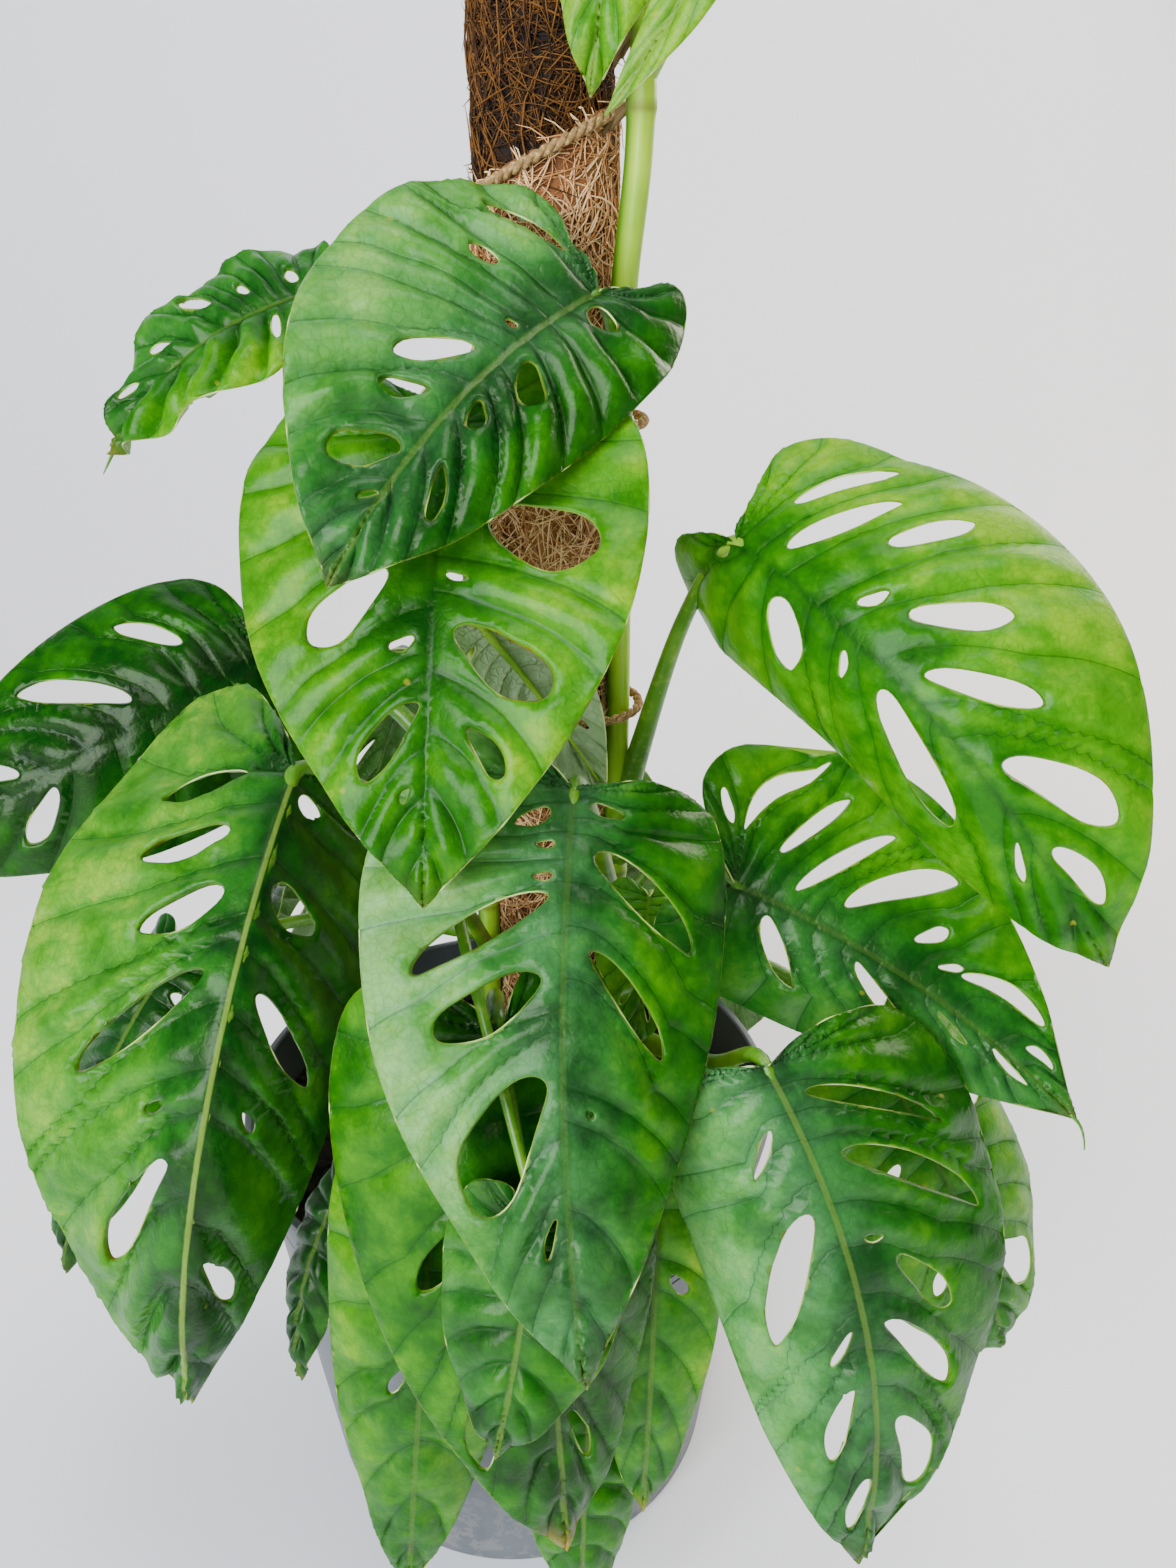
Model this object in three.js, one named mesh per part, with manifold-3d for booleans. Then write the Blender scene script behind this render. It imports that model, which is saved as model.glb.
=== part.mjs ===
// Potted swiss cheese vine (Monstera adansonii) climbing a coir pole in a nursery pot.
// Millimetres, +Z up. The origin is the middle of the pot's base, and -Y is the front of the plant.
import * as THREE from 'three';
import { mergeVertices } from 'three/addons/utils/BufferGeometryUtils.js';
import Module from 'manifold-3d';

const wasm = await Module();
wasm.setup();

// Driving dimensions

const CLEARANCE = 0.3; // between pieces that touch

const pot = {
  height: 165,
  rimRadius: 95,
  collarRadius: 92.5, // at the lower edge of the thick collar under the rim
  collarHeight: 15,
  rimTop: 3, // width of the rim's top
  rimEdge: { out: 0.6, down: 2 }, // its slanted outer edge
  baseRadius: 76,
  wall: 2,
  collarWall: 1.5, // where the wall meets the collar
  floor: 2.5,
  sides: 36,
  channels: 7, // raised drainage channels that run out to the wall as notches
  channelWidth: 20,
  channelHeight: 12,
  channelStart: 40, // radius where a channel begins
  firstChannel: THREE.MathUtils.degToRad(-104), // its notch is just left of the front
  drain: { radius: 55, length: 18, width: 7 },
};

const soil = { level: 146, crown: 4, shoulder: { radius: 60, rise: 2.8 }, sides: 24 };

const pole = {
  x: 17,
  top: 585,
  coreRadius: 9,
  coreTop: 579,
  coirRadius: 17.6,
  matWall: 1.2,
  sides: 20,
};
const matRadius = pole.coirRadius + CLEARANCE + pole.matWall;

// The outer mat's top edge, and the twine that holds it, lie in one tilted plane round the pole.
const matEdge = { height: 467, slope: 0.5 };

const twineRadius = 1.5;
const tieHeights = { twine_middle: 318, twine_high: 402 }; // loops that hold the stems

const stemRadius = 3.5;

// Each vine stem's centre line from the soil to its tip.
const stems = {
  right: [[46, -14, 100], [40.5, -12, 150], [37.5, -10.5, 230], [37.5, -10.5, 330],
    [37.5, -10.5, 430], [41, -13.5, 468], [41.5, -14, 505]],
  left: [[-12, -14, 100], [-6.5, -9, 150], [-4.5, -8.5, 230], [-4.5, -8.5, 330], [-3.5, -10.5, 415]],
  back: [[24, 31, 100], [20, 24, 150], [17, 23, 230], [17, 23, 330], [16, 24, 440]],
};

const bladeThickness = 0.8;
const waveHeight = 1.2; // of the waves along a blade's margin
const wavesPerSide = 5;
const smallestHole = 0.01; // narrower ones, as shares of the outline, are pinpricks and stay closed

// One half of a blade's outline, from the petiole round the lobe to the tip:
// how far out, as a share of the width, and how far along, as a share of the midrib.
const halfOutline = new THREE.SplineCurve([
  [0, 0], [0.07, -0.055], [0.2, -0.115], [0.36, -0.085], [0.47, 0.06], [0.5, 0.24],
  [0.46, 0.46], [0.35, 0.66], [0.21, 0.82], [0.085, 0.93], [0, 1],
].map(([out, along]) => new THREE.Vector2(out, along)));
const veinsPart = 0.28; // up to this share of the outline, all veins start at the petiole

// The leaves. base is where the petiole meets the blade, looks is the way the upper face looks,
// arch is how far the midrib turns down in degrees, sweep how far it bows sideways, and belly how
// far the widest part lies towards the tip. share is the left half's part of the width, left and
// right being those of the upper face with the tip ahead. Each half has its fold up from the
// midrib, its curl down to the margin and the depth of its lobe. A hole is a long oval between two
// veins: where on the outline its veins end, where it starts and stops between midrib and margin,
// its half width, and how far it leans across the veins.
const leaves = [
  {
    name: 'leaf_top', base: [31, -42, 438], tip: [-28, -95, 383], looks: [0.05, -0.9, 0.45],
    width: 74, arch: 35, sweep: 0.05, belly: 0.05, share: 0.77, stem: 'right', node: 385,
    via: [37, -36, 415],
    right: { fold: 6, curl: 10, lobe: 0.8, holes: [
      [0.33, 0.3, 0.7, 0.026, 0.05], [0.47, 0.3, 0.45, 0.014, 0], [0.56, 0.05, 0.1, 0.006, 0],
      [0.66, 0.1, 0.42, 0.02, 0.02], [0.73, 0.15, 0.43, 0.013, 0], [0.81, 0.1, 0.73, 0.023, -0.01],
      [0.88, 0.08, 0.35, 0.004, 0],
    ] },
    left: { fold: 8, curl: 50, lobe: 1.5, holes: [
      [0.4, 0.08, 0.32, 0.03, 0], [0.6, 0.12, 0.45, 0.023, 0], [0.7, 0.12, 0.32, 0.017, 0],
      [0.77, 0.38, 0.78, 0.015, 0],
    ] },
  },
  {
    name: 'leaf_upper_middle', base: [-6, -48, 410], tip: [-10, -110, 310],
    looks: [0, -0.88, 0.48], width: 100, arch: 30, sweep: 0, belly: -0.03, share: 1, stem: 'left',
    node: 372, via: [-8, -34, 400],
    right: { fold: 0, curl: 20, lobe: 1, holes: [
      [0.64, 0.18, 0.64, 0.028, 0.02], [0.71, 0.08, 0.22, 0.008, 0], [0.8, 0.06, 0.7, 0.022, 0.01],
      [0.87, 0.22, 0.4, 0.006, 0],
    ] },
    left: { fold: 15, curl: 15, lobe: 1, holes: [
      [0.55, 0.2, 0.72, 0.038, 0], [0.63, 0.05, 0.15, 0.005, 0], [0.7, 0.12, 0.75, 0.028, 0],
      [0.79, 0.35, 0.78, 0.014, 0],
    ] },
  },
  {
    name: 'leaf_right_high', base: [66, -45, 379], tip: [155, -105, 290],
    looks: [-0.3, -0.9, 0.27], width: 101, arch: 68, sweep: -0.07, belly: 0.07, share: 1.14,
    stem: 'right', node: 278, via: [56, -20, 350],
    left: { fold: -4, curl: 47, lobe: 1, holes: [
      [0.36, 0.28, 0.75, 0.022, 0.02], [0.43, 0.08, 0.5, 0.02, 0.01], [0.5, 0.3, 0.64, 0.015, 0],
      [0.56, 0.08, 0.18, 0.008, 0], [0.61, 0.17, 0.49, 0.018, 0.01], [0.69, 0.08, 0.45, 0.018, 0.02],
      [0.79, 0.12, 0.76, 0.027, 0.01], [0.885, 0.1, 0.67, 0.025, 0.01],
    ] },
    right: { fold: -28, curl: 50, lobe: 1.5, holes: [
      [0.25, 0.06, 0.25, 0.05, -0.03], [0.49, 0.08, 0.45, 0.032, 0.01], [0.59, 0.08, 0.22, 0.006, 0],
      [0.69, 0.08, 0.62, 0.042, 0.03], [0.84, 0.18, 0.54, 0.008, 0],
    ] },
  },
  {
    name: 'leaf_right_middle', base: [70, -55, 283], tip: [164, -90, 228],
    looks: [0.22, -0.9, 0.38], width: 92, arch: 4, sweep: -0.05, belly: -0.12, share: 1.13,
    stem: 'right', node: 266, via: [60, -26, 288],
    left: { fold: -3, curl: 10, lobe: 1.85, holes: [
      [0.22, 0.5, 0.8, 0.015, 0], [0.33, 0.36, 0.9, 0.023, 0.06], [0.43, 0.22, 0.62, 0.023, 0.04],
      [0.52, 0.08, 0.57, 0.018, 0.05], [0.62, 0.12, 0.7, 0.023, 0.05], [0.7, 0.2, 0.42, 0.011, 0.01],
      [0.75, 0.18, 0.33, 0.007, 0.01], [0.81, 0.27, 0.9, 0.018, 0.04], [0.9, 0.38, 0.8, 0.012, 0.01],
    ] },
    right: { fold: -10, curl: 60, lobe: 1, holes: [
      [0.51, 0.08, 0.46, 0.026, 0.06], [0.69, 0.08, 0.45, 0.02, 0.05], [0.8, 0.1, 0.3, 0.013, 0.02],
      [0.89, 0.08, 0.44, 0.016, 0.02],
    ] },
  },
  {
    name: 'leaf_right_low', base: [74, -106, 260], tip: [103, -146, 118], looks: [0.2, -0.85, 0.5],
    width: 109, arch: 42, sweep: -0.06, belly: 0, share: 1.08, stem: 'right', node: 196,
    via: [64, -66, 228],
    right: { fold: -14, curl: 75, lobe: 0.2, holes: [
      [0.47, 0.1, 0.25, 0.012, 0.03], [0.62, 0.08, 0.57, 0.031, 0.05], [0.72, 0.08, 0.26, 0.006, 0.01],
      [0.79, 0.15, 0.57, 0.02, 0.02], [0.9, 0.08, 0.7, 0.02, 0.01],
    ] },
    left: { fold: -7, curl: 24, lobe: 0.4, holes: [
      [0.44, 0.08, 0.62, 0.017, 0.05], [0.54, 0.1, 0.75, 0.02, 0.04], [0.61, 0.08, 0.16, 0.005, 0],
      [0.66, 0.2, 0.54, 0.018, 0.02], [0.73, 0.1, 0.66, 0.018, 0.02], [0.83, 0.2, 0.86, 0.028, 0.01],
    ] },
  },
  {
    name: 'leaf_front', base: [25, -80, 326], tip: [28, -152, 198], looks: [-0.08, -0.88, 0.47],
    width: 102, arch: 36, sweep: 0.02, belly: -0.06, share: 0.97, stem: 'right', node: 240,
    via: [30, -42, 296],
    right: { fold: 0, curl: 10, lobe: 1, holes: [
      [0.38, 0.08, 0.22, 0.018, 0.01], [0.43, 0.05, 0.12, 0.006, 0], [0.48, 0.05, 0.12, 0.006, 0],
      [0.54, 0.06, 0.66, 0.02, 0.03], [0.62, 0.08, 0.6, 0.024, 0.01], [0.74, 0.08, 0.8, 0.04, 0.02],
      [0.85, 0.12, 0.35, 0.008, 0.01],
    ] },
    left: { fold: -25, curl: 25, lobe: 0.3, holes: [
      [0.36, 0.08, 0.25, 0.016, 0.01], [0.5, 0.1, 0.68, 0.029, 0.05], [0.62, 0.1, 0.6, 0.019, 0.04],
      [0.74, 0.15, 0.2, 0.003, 0],
    ] },
  },
  {
    name: 'leaf_left_big', base: [-53, -45, 314], tip: [-87, -115, 143], looks: [0, -0.93, 0.37],
    width: 133, arch: 90, sweep: 0, belly: 0.06, share: 0.9, stem: 'left', node: 252,
    via: [-30, -26, 292],
    right: { fold: -25, curl: 0, lobe: 1.6, holes: [
      [0.35, 0.2, 0.54, 0.024, 0.02], [0.44, 0.15, 0.47, 0.02, 0.01], [0.52, 0.1, 0.38, 0.018, 0.01],
      [0.61, 0.1, 0.6, 0.017, 0.02], [0.69, 0.18, 0.28, 0.005, 0], [0.76, 0.15, 0.68, 0.02, 0.02],
    ] },
    left: { fold: -55, curl: 18, lobe: 0.6, holes: [
      [0.36, 0.06, 0.22, 0.02, 0], [0.5, 0.06, 0.34, 0.02, 0], [0.61, 0.12, 0.62, 0.016, 0.01],
      [0.69, 0.22, 0.34, 0.007, 0], [0.82, 0.2, 0.7, 0.014, 0],
    ] },
  },
  {
    name: 'leaf_left_high', base: [-75, 14, 323], tip: [-192, -8, 263], looks: [-0.1, -1, 0.1],
    width: 92, arch: 60, sweep: 0.02, belly: -0.02, share: 1, stem: 'left', node: 285,
    via: [-42, 10, 316],
    right: { fold: -16, curl: 35, lobe: 0.35, holes: [
      [0.49, 0.3, 0.67, 0.021, 0.03], [0.63, 0.14, 0.74, 0.023, 0.04], [0.79, 0.15, 0.68, 0.02, 0.01],
    ] },
    left: { fold: 0, curl: 40, lobe: 1, holes: [
      [0.62, 0.15, 0.6, 0.018, 0], [0.76, 0.1, 0.6, 0.02, 0.01],
    ] },
  },
  {
    name: 'leaf_left_top', base: [-50, 30, 432], tip: [-114, 20, 387], looks: [-0.3, -0.66, 0.7],
    width: 54, arch: 53, sweep: 0.02, belly: 0.04, share: 1, stem: 'back', node: 418,
    via: [-20, 36, 428],
    right: { fold: 10, curl: 34, lobe: 1, holes: [
      [0.39, 0.15, 0.34, 0.02, 0], [0.53, 0.2, 0.36, 0.01, 0], [0.61, 0.3, 0.75, 0.016, 0],
      [0.73, 0.25, 0.65, 0.012, 0], [0.83, 0.4, 0.8, 0.014, 0],
    ] },
    left: { fold: 8, curl: 0, lobe: 1, holes: [
      [0.5, 0.15, 0.5, 0.012, 0],
    ] },
  },
  {
    name: 'leaf_low_front', base: [6, -98, 265], tip: [22, -135, 105], looks: [0.3, -0.8, 0.5],
    width: 95, arch: 30, sweep: 0, belly: -0.02, share: 0.86, stem: 'left', node: 186,
    via: [0, -46, 236],
    right: { fold: -8, curl: 40, lobe: 1, holes: [
      [0.6, 0.2, 0.6, 0.018, 0.02], [0.77, 0.5, 0.9, 0.026, 0.01],
    ] },
    left: { fold: -8, curl: 18, lobe: 1, holes: [
      [0.6, 0.15, 0.5, 0.016, 0.02], [0.83, 0.15, 0.6, 0.016, 0.01],
    ] },
  },
  {
    name: 'leaf_low_cupped', base: [15, -130, 230], tip: [4, -145, 162], looks: [-0.1, -0.86, 0.5],
    width: 50, arch: 26, sweep: -0.02, belly: -0.03, share: 1, stem: 'left', node: 228,
    via: [-6, -76, 286],
    right: { fold: -5, curl: 27, lobe: 1, holes: [] },
    left: { fold: 3, curl: 25, lobe: 1, holes: [] },
  },
  {
    name: 'leaf_low_narrow', base: [49, -87, 222], tip: [46, -105, 76], looks: [0, -0.88, 0.48],
    width: 46, arch: 32, sweep: 0, belly: 0, share: 1, stem: 'right', node: 164,
    via: [50, -54, 208],
    right: { fold: -8, curl: 26, lobe: 1, holes: [] },
    left: { fold: -10, curl: 26, lobe: 1, holes: [
      [0.6, 0.15, 0.4, 0.012, 0],
    ] },
  },
  {
    name: 'leaf_low_left', base: [-13, -105, 220], tip: [-30, -115, 49], looks: [0.05, -0.9, 0.45],
    width: 68, arch: 20, sweep: 0, belly: -0.06, share: 1, stem: 'left', node: 160,
    via: [-16, -48, 188],
    right: { fold: -14, curl: 26, lobe: 0.7, holes: [
      [0.66, 0.12, 0.3, 0.012, 0.01],
    ] },
    left: { fold: -16, curl: 26, lobe: 0.7, holes: [] },
  },
  {
    name: 'leaf_right_behind', base: [120, -48, 214], tip: [173, -58, 94],
    looks: [0.25, -0.85, 0.47], width: 86, arch: 50, sweep: 0, belly: 0.03, share: 1,
    stem: 'right', node: 211, via: [84, -22, 232],
    right: { fold: 0, curl: 40, lobe: 1, holes: [
      [0.55, 0.2, 0.6, 0.015, 0.01], [0.72, 0.2, 0.6, 0.015, 0.01],
    ] },
    left: { fold: 4, curl: 60, lobe: 1, holes: [
      [0.5, 0.2, 0.6, 0.02, 0], [0.77, 0.2, 0.86, 0.04, 0],
    ] },
  },
  {
    name: 'leaf_crown', base: [42, -27, 550], tip: [29, -34, 478], looks: [-0.25, -0.9, 0.3],
    width: 36, arch: 25, sweep: 0, belly: 0, share: 1, stem: 'right', node: 497,
    via: [44, -15, 530],
    right: { fold: 10, curl: 30, lobe: 1, holes: [
      [0.5, 0.2, 0.6, 0.016, 0], [0.75, 0.2, 0.6, 0.014, 0],
    ] },
    left: { fold: 15, curl: 40, lobe: 1, holes: [
      [0.55, 0.2, 0.7, 0.02, 0],
    ] },
  },
  {
    name: 'leaf_unrolling', base: [66, -38, 541], tip: [32, -45, 474], looks: [-0.3, -0.93, 0.2],
    width: 18, arch: 10, sweep: -0.08, belly: 0, share: 1, stem: 'right', node: 482,
    via: [56, -20, 508],
    right: { fold: 5, curl: 20, lobe: 0.6, holes: [] },
    left: { fold: 12, curl: 30, lobe: 0.6, holes: [] },
  },
];

// The leaves that the front ones hide, with the same form and their holes set by a rule.
const hiddenLeaves = [
  {
    name: 'leaf_front_small', base: [29, -100, 119], tip: [27, -103, 21], looks: [0.1, -0.9, 0.4],
    width: 42, holes: 0, stem: 'right', node: 156, via: [20, -98, 178],
  },
  {
    name: 'leaf_left_small', base: [-46, -80, 191], tip: [-61, -94, 125], looks: [-0.6, -0.8, 0.2],
    width: 26, holes: 0, stem: 'left', node: 150, via: [-36, -46, 192],
  },
  {
    name: 'leaf_left_behind', base: [-112, -14, 226], tip: [-152, -50, 122],
    looks: [-0.5, -0.8, 0.4], width: 62, holes: 3, stem: 'left', node: 236, via: [-58, -6, 240],
  },
  {
    name: 'leaf_inner_pale', base: [-2, -30, 352], tip: [34, -33, 300], looks: [0, 0.9, -0.4],
    width: 40, holes: 2, stem: 'left', node: 332, via: [-5, -25, 346],
  },
  {
    name: 'leaf_inner_right', base: [47, -38, 268], tip: [43, -54, 222], looks: [0.2, -0.9, 0.4],
    width: 32, holes: 2, stem: 'right', node: 225, via: [51, -25, 258],
  },
  {
    name: 'leaf_back_top', base: [0, 58, 402], tip: [8, 104, 322], looks: [0.05, 0.85, 0.45],
    width: 78, holes: 4, stem: 'back', node: 372, via: [10, 44, 398],
  },
  {
    name: 'leaf_back_left_high', base: [-28, 56, 312], tip: [-66, 104, 216],
    looks: [-0.35, 0.8, 0.45], width: 92, holes: 4, stem: 'back', node: 268, via: [-4, 44, 306],
  },
  {
    name: 'leaf_back_middle', base: [12, 80, 262], tip: [2, 132, 128], looks: [-0.05, 0.86, 0.5],
    width: 110, holes: 5, stem: 'back', node: 226, via: [14, 52, 256],
  },
  {
    name: 'leaf_back_left_low', base: [-54, 70, 226], tip: [-98, 106, 106],
    looks: [-0.5, 0.75, 0.45], width: 84, holes: 4, stem: 'back', node: 206, via: [-16, 46, 230],
  },
  {
    name: 'leaf_back_right_low', base: [60, 76, 216], tip: [98, 106, 98], looks: [0.55, 0.7, 0.45],
    width: 90, holes: 4, stem: 'back', node: 172, via: [42, 50, 208],
  },
  {
    name: 'leaf_side_left', base: [-82, 16, 238], tip: [-136, 28, 144], looks: [-0.75, 0.3, 0.6],
    width: 52, holes: 4, stem: 'left', node: 276, via: [-40, 12, 258],
  },
];
const hiddenForm = { arch: 42, sweep: 0.02, belly: -0.02, share: 1, fold: -8, curl: 38, lobe: 1 };

// Whole numbers in a fixed order that looks random, as shares of one.
function seededShares(seed) {
  const most = 2147483647;
  let value = seed;
  return () => {
    value = (value * 16807) % most;
    return value / most;
  };
}

function ruledHoles(count, share) {
  return Array.from({ length: count }, (unused, i) => {
    const outline = 0.38 + (0.5 * (i + 0.2 + 0.6 * share())) / count;
    const from = 0.1 + 0.12 * share();
    return [outline, from, from + 0.3 + 0.25 * share(), 0.012 + 0.008 * share(), 0.015];
  });
}

function hiddenLeaf({ holes, ...leaf }, index) {
  const share = seededShares(index + 11);
  const { arch, sweep, belly, share: even, fold, curl, lobe } = hiddenForm;
  const half = () => ({ fold, curl, lobe, holes: ruledHoles(holes, share) });
  return { ...leaf, arch, sweep, belly, share: even, left: half(), right: half() };
}

// Materials

function finish(color, roughness) {
  return new THREE.MeshStandardMaterial({ color, roughness, metalness: 0 });
}

const materials = {
  pot: finish('#5a5f62', 0.45),
  soil: finish('#1d1713', 0.95),
  core: finish('#a98a5e', 0.8),
  coir: finish('#4c301d', 0.95),
  mat: finish('#a87b52', 0.95),
  twine: finish('#bda06f', 0.9),
  stem: finish('#a5bd4e', 0.4),
  leaf: finish('#3f7d14', 0.35),
};

// Solids

function solidOf(geometry) {
  const bare = geometry.index ? geometry.toNonIndexed() : geometry.clone();
  bare.deleteAttribute('normal');
  bare.deleteAttribute('uv');
  const merged = mergeVertices(bare, 1e-3);
  return new wasm.Manifold(new wasm.Mesh({
    numProp: 3,
    vertProperties: merged.attributes.position.array,
    triVerts: new Uint32Array(merged.index.array),
  }));
}

function geometryOf(solid) {
  const { vertProperties, triVerts } = solid.getMesh();
  const indexed = new THREE.BufferGeometry();
  indexed.setAttribute('position', new THREE.BufferAttribute(vertProperties, 3));
  indexed.setIndex(new THREE.BufferAttribute(triVerts, 1));
  const geometry = indexed.toNonIndexed();
  geometry.computeVertexNormals();
  return geometry;
}

// The scraps that a cut leaves are dropped.
function largest(solid) {
  return solid.decompose().reduce((most, part) => (part.volume() > most.volume() ? part : most));
}

// A profile of radii and heights turned round the Z axis.
function turned(profile, sides) {
  const points = profile.map(([radius, height]) => new THREE.Vector2(radius, height));
  return solidOf(new THREE.LatheGeometry(points, sides).rotateX(Math.PI / 2));
}

function upright(radius, bottom, top, sides) {
  const cylinder = new THREE.CylinderGeometry(radius, radius, top - bottom, sides);
  return solidOf(cylinder.rotateX(Math.PI / 2).translate(0, 0, (top + bottom) / 2));
}

// A round bar along a curve, whose radius follows radiusAt from 0 at its start to 1 at its end.
function bar(curve, radiusAt, sides, steps) {
  const cylinder = new THREE.CylinderGeometry(1, 1, 1, sides, steps);
  const frames = curve.computeFrenetFrames(steps, false);
  const position = cylinder.attributes.position;
  const point = new THREE.Vector3();
  for (let i = 0; i < position.count; i += 1) {
    point.fromBufferAttribute(position, i);
    const step = Math.round((point.y + 0.5) * steps);
    const radius = radiusAt(step / steps);
    const placed = curve.getPointAt(step / steps)
      .addScaledVector(frames.binormals[step], point.x * radius)
      .addScaledVector(frames.normals[step], point.z * radius);
    position.setXYZ(i, placed.x, placed.y, placed.z);
  }
  return solidOf(cylinder);
}

function curveThrough(points) {
  const places = points.map((point) => new THREE.Vector3(...point));
  return new THREE.CatmullRomCurve3(places, false, 'centripetal');
}

// Pot and soil

// A bar of the drainage channels' section, from the first radius to the second, turned to its place.
function channelBar(index, width, height, from, to) {
  const box = new THREE.BoxGeometry(to - from, width, 2 * height).translate((from + to) / 2, 0, 0);
  return solidOf(box.rotateZ(pot.firstChannel + (index * 2 * Math.PI) / pot.channels));
}

function potWallRadius(height) {
  const wallTop = pot.height - pot.collarHeight;
  const belowCollar = pot.collarRadius - pot.wall;
  return pot.baseRadius + ((belowCollar - pot.baseRadius) * height) / wallTop;
}

function makePot() {
  const { height, rimRadius, collarRadius, collarHeight, baseRadius, wall, floor } = pot;
  const { rimTop, rimEdge, collarWall } = pot;
  const underCollar = height - collarHeight;
  const outerWall = potWallRadius(underCollar);
  const shell = turned([
    [0, 0], [baseRadius, 0], [outerWall, underCollar], [collarRadius, underCollar],
    [rimRadius, height - rimEdge.down], [rimRadius - rimEdge.out, height], [rimRadius - rimTop, height],
    [outerWall - collarWall, underCollar], [potWallRadius(floor) - wall, floor], [0, floor],
  ], pot.sides);
  const roofTop = 5 * pot.channelHeight; // anywhere above the channels' roofs
  const inside = turned([
    [0, 0], [potWallRadius(0) - wall / 2, 0], [potWallRadius(roofTop) - wall / 2, roofTop], [0, roofTop],
  ], pot.sides);
  let solid = shell;
  for (let i = 0; i < pot.channels; i += 1) {
    const width = pot.channelWidth + 2 * wall;
    const roof = channelBar(i, width, pot.channelHeight + wall, pot.channelStart - wall, pot.rimRadius);
    solid = solid.add(roof.intersect(inside));
  }
  for (let i = 0; i < pot.channels; i += 1) {
    const channel = channelBar(i, pot.channelWidth, pot.channelHeight, pot.channelStart, rimRadius);
    solid = solid.subtract(channel);
    const { radius, length, width } = pot.drain;
    const [from, to] = [radius - length / 2, radius + length / 2];
    solid = solid.subtract(channelBar(i, width, pot.channelHeight + 2 * wall, from, to));
  }
  return solid;
}

function makeSoil(stemHoles) {
  const { wall, floor } = pot;
  const bottom = floor + CLEARANCE;
  const gap = wall + CLEARANCE;
  const top = soil.level;
  let solid = turned([
    [0, bottom], [potWallRadius(bottom) - gap, bottom], [potWallRadius(top) - gap, top],
    [soil.shoulder.radius, top + soil.shoulder.rise], [0, top + soil.crown],
  ], soil.sides);
  for (let i = 0; i < pot.channels; i += 1) {
    const width = pot.channelWidth + 2 * gap;
    const roof = channelBar(i, width, pot.channelHeight + gap, pot.channelStart - gap, pot.rimRadius);
    solid = solid.subtract(roof);
  }
  const poleHole = upright(matRadius + CLEARANCE, 0, pot.height, pole.sides).translate([pole.x, 0, 0]);
  return stemHoles.reduce((rest, hole) => rest.subtract(hole), solid.subtract(poleHole));
}

// Coir pole

function poleTube(inner, outer, top) {
  const bottom = pot.floor + CLEARANCE;
  return turned([[inner, bottom], [outer, bottom], [outer, top], [inner, top], [inner, bottom]], pole.sides)
    .translate([pole.x, 0, 0]);
}

function makeCore() {
  return upright(pole.coreRadius, pot.floor + CLEARANCE, pole.coreTop, 12).translate([pole.x, 0, 0]);
}

function makeMat() {
  const tube = poleTube(pole.coirRadius + CLEARANCE, matRadius, pole.top);
  const reach = pole.top - matEdge.height + 2 * matRadius;
  const above = new THREE.BoxGeometry(reach, reach, reach).translate(0, 0, reach / 2);
  const slope = new THREE.Matrix4().makeShear(0, matEdge.slope, 0, 0, 0, 0);
  above.applyMatrix4(slope).translate(pole.x, 0, matEdge.height + 1.5 * twineRadius);
  return tube.subtract(solidOf(above));
}

// A loop of twine whose ring follows a distance from the pole's axis, given for each direction.
function twineLoop(distanceAt, heightAt) {
  const ring = 10;
  const torus = new THREE.TorusGeometry(ring, twineRadius, 4, 22);
  const position = torus.attributes.position;
  for (let i = 0; i < position.count; i += 1) {
    const direction = Math.atan2(position.getY(i), position.getX(i));
    const out = Math.hypot(position.getX(i), position.getY(i)) - ring + distanceAt(direction);
    const x = out * Math.cos(direction);
    const y = out * Math.sin(direction);
    position.setXYZ(i, pole.x + x, y, position.getZ(i) + heightAt(x));
  }
  return solidOf(torus);
}

function stemAt(name, height) {
  const points = stems[name];
  const next = Math.max(1, points.findIndex((point) => point[2] >= height));
  const [low, high] = [points[next - 1], points[next]];
  const share = (height - low[2]) / (high[2] - low[2]);
  return [0, 1].map((axis) => low[axis] + share * (high[axis] - low[axis]));
}

function makeTie(height) {
  const clear = CLEARANCE + twineRadius;
  const held = Object.keys(stems).filter((name) => stems[name].at(-1)[2] > height);
  const distanceAt = (direction) => held.reduce((most, name) => {
    const [x, y] = stemAt(name, height);
    const away = Math.hypot(x - pole.x, y);
    const turn = direction - Math.atan2(y, x - pole.x);
    return Math.max(most, away * Math.cos(turn) + stemRadius + clear + 0.3);
  }, matRadius + clear + 0.2);
  return twineLoop(distanceAt, () => height);
}

// Vine stems

function stemBar(name, extra) {
  return bar(curveThrough(stems[name]), (along) => {
    const taper = along > 0.94 ? 1 - (along - 0.94) * 9 : 1;
    return stemRadius * taper + extra;
  }, 7, 18);
}

// Leaves

function bladeFrame(leaf) {
  const base = new THREE.Vector3(...leaf.base);
  const along = new THREE.Vector3(...leaf.tip).sub(base);
  const chord = along.length();
  along.normalize();
  const up = new THREE.Vector3(...leaf.looks);
  up.addScaledVector(along, -up.dot(along)).normalize();
  const arch = THREE.MathUtils.degToRad(leaf.arch);
  const radius = chord / (2 * Math.sin(arch / 2));
  const right = new THREE.Vector3().crossVectors(along, up);
  return { base, along, up, right, arch, radius, length: radius * arch };
}

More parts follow.
